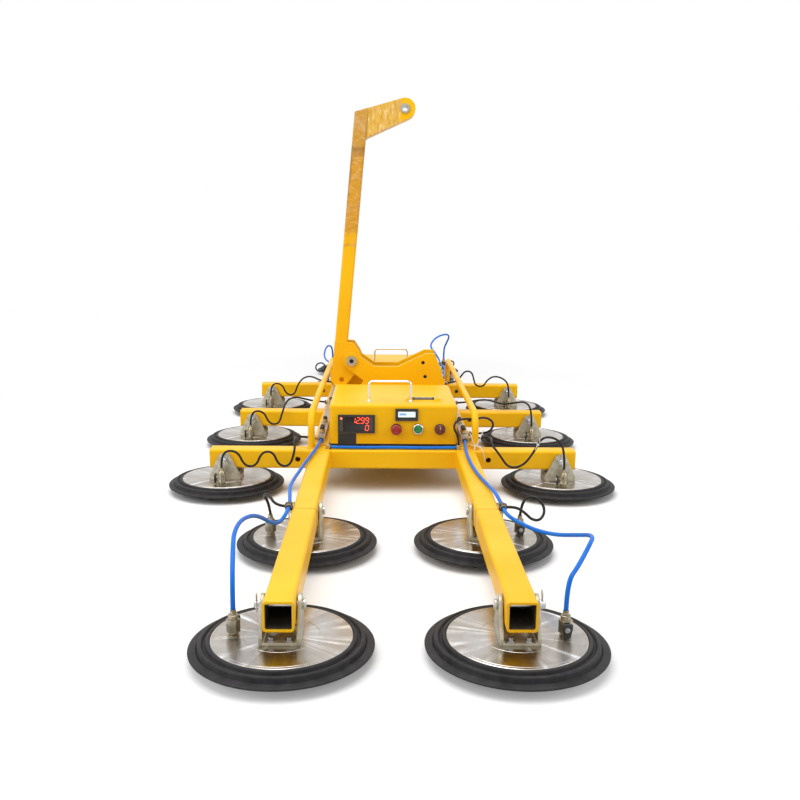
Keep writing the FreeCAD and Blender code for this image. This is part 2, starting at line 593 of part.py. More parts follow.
def near_hose(sx):
    """Arm tee back to the valve of the near pad: one whole loop on the right, a short turn on the left."""
    x = ARM_X + TUBE / 2 + 16.0 + HOSE_GAP
    end = ARM_X + VALVE_OFF
    z = VALVE_TOP + HOSE_GAP
    y = TEE_Y
    path = [(x, y, TEE_Z)]
    if sx > 0:
        path += [(x + 19, y, TEE_Z + 0.5), (x + 38, y - 6, TEE_Z - 13), (x + 56, y - 12, TEE_Z - 32)]
        path += [(x + 75, y - 17, TEE_Z - 34), (x + 86, y - 27, TEE_Z - 17), (x + 78, y - 39, TEE_Z + 3)]
        path += [(end + 20, ROW_NEAR + 2, z + 44), (end + 3, ROW_NEAR, z + 30)]
    else:
        path += [(x + 20, y, TEE_Z + 2), (x + 35, y - 17, TEE_Z + 20), (x + 50, y - 37, TEE_Z + 13)]
        path += [(end + 4, ROW_NEAR, z + 27)]
    path += [(end, ROW_NEAR, z)]
    return [(sx * a, -b, c) for a, b, c in path]


def side_hose(sx, y, port):
    """Valve of a pad on a cross tube to its manifold port, in waves in front of the tube or over it."""
    z = VALVE_TOP + HOSE_GAP
    v = y - VALVE_OFF
    front = y - TUBE / 2 - 25.0
    x = BAR_X + BAR_W / 2 + PORT_L + HOSE_GAP
    path = [(SIDE_X, v, z)]
    if sx > 0 and port > y and y < 0:
        path += [(SIDE_X, v + 1, z + 54), (SIDE_X - 22, v + 13, z + 80), (SIDE_X - 56, front + 1, z + 78)]
        path += [(SIDE_X - 74, front + 2, z + 38), (SIDE_X - 102, front, z), (SIDE_X - 140, front - 1, z - 6)]
        path += [(SIDE_X - 164, front + 2, z + 30), (SIDE_X - 186, y - 30, z + 56)]
        path += [(SIDE_X - 178, y + 15, z + 60)]
    elif sx > 0 and port > y:
        path += [(SIDE_X, v + 1, z + 50), (SIDE_X - 16, v + 20, z + 76), (SIDE_X - 48, v + 48, z + 66)]
        path += [(SIDE_X - 84, v + 78, z + 54), (SIDE_X - 122, v + 108, z + 64)]
        path += [(SIDE_X - 154, port - 8, z + 59)]
    elif sx > 0:
        path += [(SIDE_X, v + 1, z + 43), (SIDE_X - 20, v + 5, z + 67), (SIDE_X - 54, v + 11, z + 76)]
        path += [(SIDE_X - 80, v + 15, z + 60), (SIDE_X - 93, v + 17, z + 34), (SIDE_X - 123, v + 19, z + 37)]
        path += [(SIDE_X - 130, v + 19, z + 65), (SIDE_X - 138, v + 19, z + 89)]
        path += [(SIDE_X - 162, v + 19, z + 93), (SIDE_X - 178, port, z + 71)]
    else:
        path += [(SIDE_X, v, z + 42), (SIDE_X - 40, v + 10, z + 42), (SIDE_X - 55, front - 7, z - 2)]
        path += [(SIDE_X - 85, front - 2, z - 4)]
        if y < 0:
            path += [(SIDE_X - 99, front - 1, z + 34), (SIDE_X - 129, front - 1, z + 36)]
            path += [(SIDE_X - 143, front - 1, z - 2), (SIDE_X - 172, front + 1, z - 4)]
            path += [(SIDE_X - 184, front + 6, z + 36), (SIDE_X - 182, y - 20, z + 57)]
            path += [(SIDE_X - 178, y + 15, z + 58)]
        elif port > y:
            path += [(SIDE_X - 96, front + 4, z + 34), (SIDE_X - 106, y - 22, z + 66)]
            path += [(SIDE_X - 128, y + 16, z + 72), (SIDE_X - 156, port - 12, z + 60)]
        else:
            path += [(SIDE_X - 96, front + 2, z + 34), (SIDE_X - 118, front, z + 62)]
            path += [(SIDE_X - 150, front - 4, z + 68)]
    path += [(x + (28 if sx > 0 and y > 0 else 38), port, BAR_Z + 3), (x, port, BAR_Z)]
    return [(sx * a, b, c) for a, b, c in path]


def return_hose():
    """Top of the right cross-over elbow, round the hood corner and under the guard rail to the spare port."""
    x = BAR_X + BAR_W / 2 + PORT_L + HOSE_GAP
    y = -CROSS_Y
    z = TUBE_TOP + 14.0 + HOSE_GAP
    path = [(LINK_X, -ELBOW_Y, z), (LINK_X - 2, -ELBOW_Y, z + 24), (LINK_X - 15, -ELBOW_Y + 5, z + 44)]
    path += [(LINK_X - 6, y + 7, z + 60), (LINK_X + 18, y + 23, z + 62), (RAIL_X + 2, y + 47, z + 55)]
    path += [(RAIL_X + 34, y + 68, z + 58), (RAIL_X + 60, y + 83, z + 40), (RAIL_X + 56, y + 103, z + 12)]
    path += [(x + 32, SPARE_PORT - 3, BAR_Z + 1), (x, SPARE_PORT, BAR_Z)]
    return path


def turned(path):
    return [(-a, -b, c) for a, b, c in path]


def hoses():
    """Blue lines along the arms and across the ends, black lines to the side and near pads."""
    reach = LINK_X - 7.0 - HOSE_GAP
    z = TUBE_TOP + BLUE_R + 2.0
    link = [(-reach, -ELBOW_Y + 1, z), (-reach * 0.5, -ELBOW_Y - 2, z - 1), (0, -ELBOW_Y + 1, z)]
    link += [(reach * 0.5, -ELBOW_Y - 2, z - 1), (reach, -ELBOW_Y + 1, z)]
    blue = [link, arm_hose(-1), arm_hose(1)]
    blue += [turned(path) for path in blue]
    blue += [far_hose(-1, "high"), far_hose(1, "wide")]
    blue += [turned(far_hose(-1, "tall")), turned(far_hose(1, "low"))]
    black = [near_hose(-1), near_hose(1)]
    black += [turned(path) for path in black] + [return_hose()]
    for sx in (-1, 1):
        for y, port in zip((-CROSS_Y, 0.0, CROSS_Y), SIDE_PORTS):
            black.append(side_hose(sx, y, port))
    save("blue_hoses", *[bent_rod(path, BLUE_R) for path in blue])
    save("black_hoses", *[bent_rod(path, BLACK_R) for path in black])


pads()
frame()
guard_rails()
hoods()
panel()
equipment()
bracket()
mast()
plumbing()
hoses()
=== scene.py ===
import bpy
import bmesh
import math
from mathutils import Matrix, Vector


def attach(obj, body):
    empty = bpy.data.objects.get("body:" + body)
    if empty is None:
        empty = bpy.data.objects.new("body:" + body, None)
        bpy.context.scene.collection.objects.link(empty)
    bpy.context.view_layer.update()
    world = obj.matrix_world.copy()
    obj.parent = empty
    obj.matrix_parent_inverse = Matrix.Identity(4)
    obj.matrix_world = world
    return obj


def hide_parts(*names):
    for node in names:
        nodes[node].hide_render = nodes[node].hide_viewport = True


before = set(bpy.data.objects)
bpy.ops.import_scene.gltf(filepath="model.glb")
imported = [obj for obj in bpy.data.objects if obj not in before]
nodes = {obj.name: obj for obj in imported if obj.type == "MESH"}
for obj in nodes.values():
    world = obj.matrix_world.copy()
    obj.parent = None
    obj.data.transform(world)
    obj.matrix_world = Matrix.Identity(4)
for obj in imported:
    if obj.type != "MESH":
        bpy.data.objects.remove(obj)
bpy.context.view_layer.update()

# Welded frame of 50 mm square steel tube: three cross tubes, rails between them
# and four long arms. It is sprayed amber yellow after welding, and the open
# tube ends are dark inside: bare dark steel, with painted shade further in.
MM = 0.001
BOTH = (-1, 1)
TUBE = 50
TUBE_MID = 71
TUBE_TOP = TUBE_MID + TUBE / 2
ARM_X = 190
CROSS_Y = 515


def feed(socket, given):
    """Joins a socket to what another node puts out, or sets its plain value or colour."""
    if isinstance(given, bpy.types.NodeSocket):
        socket.id_data.links.new(given, socket)
    else:
        socket.default_value = (*given, 1) if socket.type == "RGBA" else given


def node_in(tree, kind, sockets=None, **settings):
    """A shader node of one kind, with what its sockets take and its settings."""
    made = tree.nodes.new("ShaderNode" + kind)
    for key, value in settings.items():
        setattr(made, key, value)
    for label, given in (sockets or {}).items():
        feed(made.inputs[label], given)
    return made


def spot_in(tree):
    return node_in(tree, "TexCoord").outputs["Object"]


def noise_at(place, size, detail):
    taken = {"Vector": place, "Scale": size, "Detail": detail}
    return node_in(place.id_data, "TexNoise", taken).outputs["Fac"]


def spread(value, low, high, to_low=0, to_high=1):
    taken = {"Value": value, "From Min": low, "From Max": high, "To Min": to_low, "To Max": to_high}
    return node_in(value.id_data, "MapRange", taken).outputs["Result"]


def times(a, b, how="MULTIPLY"):
    return node_in(a.id_data, "Math", {0: a, 1: b}, operation=how).outputs[0]


def blend(share, a, b):
    """Mix of two colours. Its sockets 0, 6 and 7 take the share and the colours."""
    return node_in(share.id_data, "Mix", {0: share, 6: a, 7: b}, data_type="RGBA").outputs[2]


def new_group(name, inputs, outputs):
    """A shared effect: its group, what goes into it and what it puts out."""
    group = bpy.data.node_groups.new(name, "ShaderNodeTree")
    for label, value in inputs.items():
        kind = "NodeSocketColor" if isinstance(value, tuple) else "NodeSocketFloat"
        socket = group.interface.new_socket(name=label, in_out="INPUT", socket_type=kind)
        socket.default_value = (*value, 1) if isinstance(value, tuple) else value
    for label in outputs:
        kind = "NodeSocketColor" if label == "Colour" else "NodeSocketFloat"
        group.interface.new_socket(name=label, in_out="OUTPUT", socket_type=kind)
    return group, group.nodes.new("NodeGroupInput").outputs, group.nodes.new("NodeGroupOutput").inputs


# Uneven colour and gloss over a surface, with a fine grain for its bump.
mottle, m_in, m_out = new_group("mottled_skin", {
    "Colour": (0.5, 0.5, 0.5), "Second": (0.4, 0.4, 0.4), "Patch Size": 6, "Grain Size": 400,
    "Rough Low": 0.3, "Rough High": 0.5}, ("Colour", "Roughness", "Height"))
place = spot_in(mottle)
patches = noise_at(place, m_in["Patch Size"], 5)
grain = noise_at(place, m_in["Grain Size"], 2)
share = spread(patches, 0.35, 0.7)
feed(m_out["Colour"], blend(share, m_in["Colour"], m_in["Second"]))
fine = times(times(patches, 0.6), times(grain, 0.4), "ADD")
feed(m_out["Roughness"], spread(fine, 0.35, 0.65, m_in["Rough Low"], m_in["Rough High"]))
feed(m_out["Height"], grain)

# Paint, plating or moulding skin rubbed through along the corners.
rub, r_in, r_out = new_group("rubbed_edges", {
    "Colour": (0.5, 0.5, 0.5), "Bare": (0.6, 0.6, 0.6), "Width": 0.002, "Amount": 0.6}, ("Colour",))
rounded = node_in(rub, "Bevel", {"Radius": r_in["Width"]}, samples=4).outputs["Normal"]
flat = node_in(rub, "NewGeometry").outputs["Normal"]
facing = node_in(rub, "VectorMath", {0: rounded, 1: flat}, operation="DOT_PRODUCT")
corner = spread(facing.outputs["Value"], 0.995, 0.86)
broken = spread(noise_at(spot_in(rub), 55, 6), 0.45, 0.62)
mask = times(times(corner, broken), r_in["Amount"])
feed(r_out["Colour"], blend(mask, r_in["Colour"], r_in["Bare"]))

# Thin workshop dust that settles on faces that look up.
dust, d_in, d_out = new_group("settled_dust", {
    "Colour": (0.5, 0.5, 0.5), "Roughness": 0.4, "Dust": (0.45, 0.42, 0.37), "Amount": 0.3},
    ("Colour", "Roughness"))
up = node_in(dust, "SeparateXYZ", {0: node_in(dust, "NewGeometry").outputs["Normal"]})
upward = spread(up.outputs["Z"], 0.3, 1)
blown = spread(noise_at(spot_in(dust), 14, 7), 0.4, 0.75)
film = times(times(upward, blown), d_in["Amount"])
feed(d_out["Colour"], blend(film, d_in["Colour"], d_in["Dust"]))
feed(d_out["Roughness"], times(d_in["Roughness"], times(film, 0.5), "ADD"))


def grouped(tree, group, values):
    """A shared effect placed in a material with its own values."""
    return node_in(tree, "Group", values, node_tree=group).outputs


def finish(name, colour, second, patch, grain_size, rough, bump, bare=None, rub_width=0.002, rubbed=0.5,
           dusty=0.25, metallic=0, coat=0, specular=0.5, height=None, soft_edge=0):
    """A coat over any metal, rubber or plastic here: mottle, rubbed corners, dust, grain."""
    made = bpy.data.materials.new(name)
    made.use_nodes = True
    tree = made.node_tree
    skin = grouped(tree, mottle, {"Colour": colour, "Second": second, "Patch Size": patch,
                                  "Grain Size": grain_size, "Rough Low": rough[0], "Rough High": rough[1]})
    shade = skin["Colour"]
    if bare:
        shade = grouped(tree, rub, {"Colour": shade, "Bare": bare, "Width": rub_width,
                                    "Amount": rubbed})["Colour"]
    settled = grouped(tree, dust, {"Colour": shade, "Roughness": skin["Roughness"], "Amount": dusty})
    grain = height(tree, skin["Height"]) if height else skin["Height"]
    bumped = node_in(tree, "Bump", {"Strength": bump[0], "Distance": bump[1], "Height": grain})
    if soft_edge:
        turned_over = node_in(tree, "Bevel", {"Radius": soft_edge}, samples=6)
        feed(bumped.inputs["Normal"], turned_over.outputs["Normal"])
    shader = tree.nodes["Principled BSDF"]
    for label, given in (("Base Color", settled["Colour"]), ("Roughness", settled["Roughness"]),
                         ("Normal", bumped.outputs["Normal"]), ("Metallic", metallic), ("Coat Weight", coat),
                         ("Coat Roughness", 0.12), ("Specular IOR Level", specular), ("IOR", 1.5)):
        feed(shader.inputs[label], given)
    return made


def dress(material, *names):
    for name in names:
        for slot in nodes[name].material_slots:
            slot.material = material


def enamel(name):
    return finish(
        name, (0.94, 0.53, 0.003), (0.89, 0.46, 0.002), 5, 520, (0.3, 0.46), (0.1, 0.0004),
        bare=(0.97, 0.68, 0.07), rub_width=0.003, dusty=0.03, coat=0.03, specular=0.19, soft_edge=0.0028)


yellow_enamel = enamel("yellow_enamel")
dress(yellow_enamel, "cross_tubes", "frame_rails", "extension_arms", "deck_plate")

# Weld beads where each arm and guard rail foot meets a cross tube. They are runs
# of steel laid by hand, and were painted over with the frame.
RAIL_X = 216


def circle(r, steps, at=(0, 0)):
    """Points round a circle, in millimetres."""
    turns = [2 * math.pi * i / steps for i in range(steps)]
    return [(at[0] + r * math.cos(t), at[1] + r * math.sin(t)) for t in turns]


def oblong(wide, deep, r, steps=5, at=(0, 0)):
    """Points round a rectangle with rounded corners, in millimetres."""
    points = []
    for k, (sx, sy) in enumerate(((1, -1), (1, 1), (-1, 1), (-1, -1))):
        for i in range(steps):
            t = math.radians(90 * (k - 1) + 90 * i / (steps - 1))
            points.append((at[0] + sx * (wide / 2 - r) + r * math.cos(t),
                           at[1] + sy * (deep / 2 - r) + r * math.sin(t)))
    return points


def wire(bm, points, radius, sides=8, closed=False, slot=0, at=None):
    """Round wire or bead along points in millimetres; radius is a number or one for each point."""
    at = at or Matrix()
    path = [Vector(p) for p in points]
    count = len(path)
    across = None
    rings = []
    for i, here in enumerate(path):
        before = path[i - 1] if closed or i else here
        after = path[(i + 1) % count] if closed or i + 1 < count else here
        way = (after - before).normalized()
        if across is None:
            across = way.orthogonal().normalized()
        across = (across - way * across.dot(way)).normalized()
        other = way.cross(across)
        r = radius if isinstance(radius, (int, float)) else radius[i]
        rings.append([bm.verts.new(at @ ((here + across * a + other * b) * MM)) for a, b in circle(r, sides)])
    pairs = list(zip(rings, rings[1:])) + ([(rings[-1], rings[0])] if closed else [])
    for low, high in pairs:
        for k in range(sides):
            m = (k + 1) % sides
            bm.faces.new((low[k], low[m], high[m], high[k])).material_index = slot
    if not closed:
        bm.faces.new(rings[0][::-1]).material_index = slot
        bm.faces.new(rings[-1]).material_index = slot


def shaped(bm, name, materials, sharp=35):
    """Mesh of a finished piece, smooth but for its real edges."""
    bmesh.ops.recalc_face_normals(bm, faces=bm.faces)
    mesh = bpy.data.meshes.new(name)
    bm.to_mesh(mesh)
    bm.free()
    for material in materials:
        mesh.materials.append(material)
    mesh.shade_smooth()
    mesh.set_sharp_from_angle(angle=math.radians(sharp))
    return mesh


def placed(name, data):
    made = bpy.data.objects.new(name, data)
    bpy.context.scene.collection.objects.link(made)
    return made


def fitted(name, mesh, body, at=None, stands_for=()):
    """Puts a piece in its place on a body of the lifter."""
    piece = placed(name, mesh)
    piece.matrix_world = at or Matrix()
    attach(piece, body)
    if stands_for:
        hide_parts(*stands_for)
    return piece


def made_up(name, bm, materials, body="frame", stands_for=(), sharp=35):
    """Shapes and fits a piece of which there is only one."""
    return fitted(name, shaped(bm, name, materials, sharp), body, None, stands_for)


def around_tube(x, y, size, step=None):
    """Points round a tube that runs along Y, a step apart where one is given."""
    outline = oblong(size, size, 6, 6, (x, TUBE_MID))
    ring = []
    for i, (a, c) in enumerate(outline):
        b, d = outline[(i + 1) % len(outline)]
        steps = max(1, round(math.hypot(b - a, d - c) / step)) if step else 1
        ring += [(a + (b - a) * k / steps, y, c + (d - c) * k / steps) for k in range(steps)]
    return ring


CORNERS = [(sx, sy) for sx in BOTH for sy in BOTH]
beads = bmesh.new()
for sx, sy in CORNERS:
    ring = around_tube(sx * ARM_X, sy * (CROSS_Y + TUBE / 2 + 0.6), TUBE + 0.6, 2.2)
    uneven = [2.6 + 0.5 * math.sin(i * 1.9) + 0.25 * math.sin(i * 0.7) for i in range(len(ring))]
    wire(beads, ring, uneven, 6, True)
    foot = [(x, y, TUBE_TOP + 1) for x, y in circle(9.6, 24, (sx * RAIL_X, sy * CROSS_Y))]
    wire(beads, foot, [2 + 0.4 * math.sin(i * 2.1) for i in range(len(foot))], 6, True)
made_up("weld_beads", beads, [yellow_enamel])

# Dark line where an arm's outer length butts on its inner one: painted shade
# for the narrow gap between the two sawn ends.
SEAM_Y = 1040
seam_shade = finish(
    "seam_shade", (0.16, 0.075, 0.006), (0.3, 0.14, 0.008), 60, 900, (0.5, 0.75), (0.2, 0.0003))
seams = bmesh.new()
for sx, sy in CORNERS:
    wire(seams, around_tube(sx * ARM_X, sy * SEAM_Y, TUBE + 0.2), 0.45, 4, True)
made_up("arm_seams", seams, [seam_shade])

# Open ends of the arms and cross tubes: the paint stops at the saw cut, and the
# bore behind it is lined dark and closed some way in. The dark is partly the
# scale of the rolling mill and partly painted shade for the shadow in the tube.
BORE = 41.6
ARM_BORE_Y = 1512
CROSS_BORE_X = 477
scale_and_shade = finish(
    "scale_and_shade", (0.035, 0.026, 0.018), (0.075, 0.052, 0.03), 40, 700, (0.55, 0.8), (0.3, 0.0004),
    dusty=0.12, metallic=0.3)


def moved(x, y, z):
    return Matrix.Translation((x * MM, y * MM, z * MM))


def turned(degrees, axis):
    return Matrix.Rotation(math.radians(degrees), 4, axis)


open_ends = [(sx * ARM_X, sy * ARM_BORE_Y, 0 if sy < 0 else 180, 420) for sx, sy in CORNERS]
open_ends += [(sx * CROSS_BORE_X, y, 90 * sx, 180) for sx in BOTH for y in (-CROSS_Y, 0, CROSS_Y)]
bores = bmesh.new()
rim = oblong(BORE, BORE, 2.6, 4)
for x, y, turn, deep in open_ends:
    at = moved(x, y, TUBE_MID) @ turned(turn, "Z") @ turned(-90, "X")
    near, far = [[bores.verts.new(at @ Vector((a * MM, b * MM, z * MM))) for a, b in rim]
                 for z in (0, deep)]
    for i in range(len(rim)):
        j = (i + 1) % len(rim)
        bores.faces.new((near[i], far[i], far[j], near[j]))
    bores.faces.new(far)
made_up("tube_bores", bores, [scale_and_shade])

# Fourteen suction pads. The moulded rubber seal has a thin floor lip, a raised
# rib and a bead that grips the disc; the same mould makes all of them.
ROUND = 112


def lathe(bm, profile, steps=48, at=None, slot=0):
    """Rings of a turned shape about Z, from (radius, height) pairs in millimetres."""
    at = at or Matrix()
    rings = []
    for r, z in profile:
        ring = circle(r, steps) if r else [(0, 0)]
        rings.append([bm.verts.new(at @ Vector((x * MM, y * MM, z * MM))) for x, y in ring])
    for low, high in zip(rings, rings[1:]):
        for i in range(steps):
            j = (i + 1) % steps
            if len(low) == 1:
                corners = (low[0], high[j], high[i])
            elif len(high) == 1:
                corners = (low[i], low[j], high[0])
            else:
                corners = (low[i], low[j], high[j], high[i])
            bm.faces.new(corners).material_index = slot


seal_rubber = finish(
    "seal_rubber", (0.008, 0.0073, 0.0082), (0.026, 0.0236, 0.0265), 60, 520, (0.44, 0.66), (0.5, 0.0009),
    bare=(0.06, 0.055, 0.058), rub_width=0.0025, dusty=0.05, specular=0.24)
seal = bmesh.new()
lathe(
    seal, [(104, 8), (104, 0.6), (104.8, 0), (148.6, 0), (149.7, 0.6), (150, 1.6), (149.9, 2.8),
    (149.2, 3.5), (146, 4), (141, 4.9), (137.6, 5.5), (136.6, 4.6), (135.6, 4.4), (134.9, 5.2),
    (134.4, 11.6), (133.4, 13.6), (131.8, 14.5), (129.2, 14.6), (127.6, 14), (126.6, 11.6), (125.2, 10.6),
    (123.4, 10.6), (122.3, 11.6), (121.7, 15.4), (120.6, 17.2), (119, 18), (116.4, 18), (115.6, 17.6),
    (115.3, 16.8), (115.3, 8), (104, 8)], ROUND)
seal_mesh = shaped(seal, "pad_seal", [seal_rubber], 50)

# Aluminium backing disc, faced on a lathe and left bare, with a chamfered rim
# that catches the light and a shallow ring where the saddle is bolted on.
DISC_TOP = 18


def turned_rings(tree, grain):
    """Fine concentric tool marks of a lathe, with the mottle's grain under them."""
    out = node_in(tree, "SeparateXYZ", {0: spot_in(tree)})
    squares = [times(out.outputs[axis], 2, "POWER") for axis in "XY"]
    reach = node_in(tree, "CombineXYZ", {"X": times(times(*squares, "ADD"), 0.5, "POWER")})
    marks = noise_at(reach.outputs[0], 1500, 3)
    return times(marks, times(grain, 0.15), "ADD")


# The brown second colour paints broad reflections of the yellow frame into the alloy.
turned_alloy = finish(
    "turned_alloy", (0.58, 0.555, 0.53), (0.4, 0.355, 0.3), 20, 900, (0.14, 0.3), (0.2, 0.00025),
    bare=(0.92, 0.92, 0.91), rub_width=0.0015, rubbed=0.6, dusty=0.05, metallic=1, height=turned_rings)
tree = turned_alloy.node_tree
shader = tree.nodes["Principled BSDF"]
lay = node_in(tree, "Tangent", direction_type="RADIAL", axis="Z")
feed(shader.inputs["Tangent"], lay.outputs[0])
feed(shader.inputs["Anisotropic"], 0.7)
# The bright radial streaks mixed into the colour below are painted glints, the lamps' reflections in the
# turned grooves.
around = node_in(tree, "VectorMath", {0: spot_in(tree), 1: (1, 1, 0)}, operation="MULTIPLY").outputs[0]
outward = node_in(tree, "VectorMath", {0: around}, operation="NORMALIZE").outputs[0]
glints = times(spread(noise_at(outward, 5, 6), 0.5, 0.64),
               spread(noise_at(around, 20, 3), 0.42, 0.58, 0.1))
faced_off = shader.inputs["Base Color"].links[0].from_socket
feed(shader.inputs["Base Color"], blend(glints, faced_off, (0.95, 0.95, 0.94)))
disc = bmesh.new()
lathe(
    disc, [(0, 8), (114.6, 8), (115, 8.4), (115, 16.8), (113.6, DISC_TOP), (110.5, DISC_TOP), (110, 17.6),
    (108.6, 17.6), (108.1, DISC_TOP), (62.4, DISC_TOP), (62, 17.7), (60.8, 17.7), (60.4, DISC_TOP),
    (0, DISC_TOP)], ROUND)
disc_mesh = shaped(disc, "pad_disc", [turned_alloy])

# Saddle folded from galvanised plate: a base bolted to the disc by four cap
# screws, and two tapered ears bored for the clevis pin.
BASE_TOP = 23
EAR_THICK = 6
EAR_R = 18
galvanised = finish(
    "galvanised", (0.56, 0.52, 0.4), (0.34, 0.31, 0.225), 60, 420, (0.24, 0.48), (0.18, 0.0004),
    bare=(0.8, 0.79, 0.72), rub_width=0.0015, rubbed=0.6, dusty=0.08, metallic=0.6)
bolt_steel = finish(
    "bolt_steel", (0.5, 0.5, 0.49), (0.3, 0.3, 0.295), 90, 800, (0.24, 0.42), (0.14, 0.0002),
    bare=(0.75, 0.75, 0.74), rub_width=0.0008, rubbed=0.6, dusty=0.08, metallic=1)


def plate(bm, outline, low, high, at=None, slot=0, soften=0, rounds=2):
    """Outline in millimetres pushed from low to high along Z, with softened edges."""
    at = at or Matrix()
    own = bmesh.new()
    own.faces.new([own.verts.new((x * MM, y * MM, low * MM)) for x, y in outline])
    pushed = bmesh.ops.extrude_face_region(own, geom=own.faces[:])
    lifted = [v for v in pushed["geom"] if isinstance(v, bmesh.types.BMVert)]
    bmesh.ops.translate(own, verts=lifted, vec=(0, 0, (high - low) * MM))
    bmesh.ops.recalc_face_normals(own, faces=own.faces)
    if soften:
        bmesh.ops.bevel(own, geom=own.edges[:], offset=soften * MM, segments=rounds, affect="EDGES",
                        profile=0.5)
    same = {v: bm.verts.new(at @ v.co) for v in own.verts}
    for face in own.faces:
        bm.faces.new([same[v] for v in face.verts]).material_index = slot
    own.free()


def cap_screw(bm, at, r, tall, slot):
    """Socket head cap screw on a plain washer, standing on Z = 0 of its place."""
    lathe(
        bm, [(r * 1.45, 0), (r * 1.5, 0.3), (r * 1.45, 1.2), (r, 1.2), (r, tall - 0.5), (r - 0.5, tall),
        (r * 0.55, tall), (r * 0.5, tall - 2.2), (0, tall - 2.2)], 20, at, slot)


saddle = bmesh.new()
plate(saddle, oblong(65.6, 80, 3), DISC_TOP, BASE_TOP, soften=0.7)
ear = [(-40, DISC_TOP + 0.4), (40, DISC_TOP + 0.4), (40, 30)]
for a in range(22, 159, 8):
    ear.append((EAR_R * math.cos(math.radians(a)), TUBE_MID + EAR_R * math.sin(math.radians(a))))
ear.append((-40, 30))
upright = turned(90, "Z") @ turned(90, "X")
for inner in (-33, 27):
    plate(saddle, ear, inner, inner + EAR_THICK, upright, soften=0.8)
for side in BOTH:
    bend = [(side * 26.2, y, BASE_TOP + 0.6) for y in range(-38, 39, 4)]
    wire(saddle, bend, [1.7 + 0.25 * math.sin(i * 2.3) for i in range(len(bend))], 6)
for x in (-15, 15):
    for y in (-30, 30):
        cap_screw(saddle, moved(x, y, BASE_TOP), 5, 6.6, 1)
saddle_mesh = shaped(saddle, "pad_saddle", [galvanised, bolt_steel])

# Ball valve screwed into the disc: nickel-plated brass with a hexagon to hold
# it, a knurled collar and a hose spigot on top, and a spindle for the lever.
PORT_X = 78
SPINDLE_UP = 35
nickel_brass = finish(
    "nickel_brass", (0.36, 0.32, 0.24), (0.25, 0.22, 0.165), 60, 700, (0.2, 0.38), (0.14, 0.0002),
    bare=(0.74, 0.64, 0.42), rub_width=0.0012, rubbed=0.8, dusty=0.06, metallic=1)


def hexagon(across_flats):
    return circle(across_flats / math.sqrt(3), 6)


valve = bmesh.new()
over_port = moved(PORT_X, 0, 0)
lathe(
    valve, [(0, DISC_TOP), (9, DISC_TOP), (9.2, 18.4), (9.2, 19.4), (8.6, 19.8), (6, 19.8), (6, 24)], 28,
    over_port)
plate(valve, hexagon(20), 24, 46, over_port, soften=0.9)
knurls = [(8.2 - 0.35 * (i % 2), 47.2 + 0.8 * i) for i in range(8)]
spigot = [
    (8.2, 53.4), (7.4, 54), (5.2, 54), (5.2, 55.6), (4.6, 56.2), (5.2, 57.4), (4.6, 58.4), (5, 59.6),
    (4.6, 62), (3.2, 62), (3.2, 58), (0, 58)]
lathe(valve, [(6.5, 45.5), (8.2, 45.8), (8.2, 47)] + knurls + spigot, 28, over_port)
lathe(
    valve, [(7.6, 8), (7.6, 10.4), (6.8, 11), (4.2, 11), (4.2, 13.6), (0, 13.6)], 24,
    over_port @ moved(0, 0, SPINDLE_UP) @ turned(90, "X"))
valve_mesh = shaped(valve, "pad_valve", [nickel_brass])

# Quarter-turn lever of the valve, moulded in black plastic, hanging in the open
# position and held on the spindle by a small screw.
lever_plastic = finish(
    "lever_plastic", (0.014, 0.014, 0.015), (0.03, 0.03, 0.031), 45, 1100, (0.32, 0.5), (0.16, 0.0002),
    bare=(0.08, 0.08, 0.08), rub_width=0.001, rubbed=0.6, dusty=0.12)
lever = bmesh.new()
beside = moved(PORT_X, -14, 0) @ turned(90, "X")
grip = [
    (-5.4, 21.6), (-4, 20.6), (4, 20.6), (5.4, 21.6), (7.2, 30), (8.8, 38), (8.8, 43.2), (7.4, 45),
    (-7.4, 45), (-8.8, 43.2), (-8.8, 38), (-7.2, 30)]
plate(lever, grip, 0, 4.6, beside, soften=0.9)
for z in (24, 27, 30):
    plate(lever, oblong(8, 1.3, 0.6, 3, (0, z)), 4.2, 5, beside, soften=0.25, rounds=1)
cap_screw(lever, beside @ moved(0, SPINDLE_UP, 4.2), 3, 2.9, 1)
lever_mesh = shaped(lever, "pad_lever", [lever_plastic, bolt_steel])

# Clevis pin on which a pad rocks: a zinc-plated headed pin through ears and
# tube, with a washer and a sprung wire clip through its end. The clips of the
# near pads hang down, clear of the hoses.
CLIP_X = 39.4
zinc_plate = finish(
    "zinc_plate", (0.62, 0.62, 0.61), (0.46, 0.46, 0.44), 70, 700, (0.2, 0.38), (0.1, 0.0002),
    bare=(0.82, 0.82, 0.8), rub_width=0.001, rubbed=0.6, dusty=0.06, metallic=1)
clip = [
    (3, -11), (0.4, -5), (0, 0), (0.2, 9), (1.6, 19), (5.2, 24), (9, 21), (9.4, 15), (6.4, 10), (6.2, 6),
    (7.8, 0), (7.2, -6), (9, -11)]


def clevis_pin(name, hang):
    pin = bmesh.new()
    lathe(
        pin, [(0, -39), (7.6, -39), (9, -38), (9, -34.6), (8.6, -34), (6, -34), (6, 34), (8.6, 34),
        (9, 34.3), (9, 35.8), (8.6, 36.1), (6, 36.1), (6, 42.6), (4.8, 44), (0, 44)], 32,
        moved(0, 0, TUBE_MID) @ turned(90, "Y"))
    wire(pin, [(CLIP_X, hang * y, TUBE_MID + hang * z) for y, z in clip], 1)
    return shaped(pin, name, [zinc_plate])


pin_mesh = clevis_pin("clevis_pin", 1)
low_pin_mesh = clevis_pin("clevis_pin_low", -1)

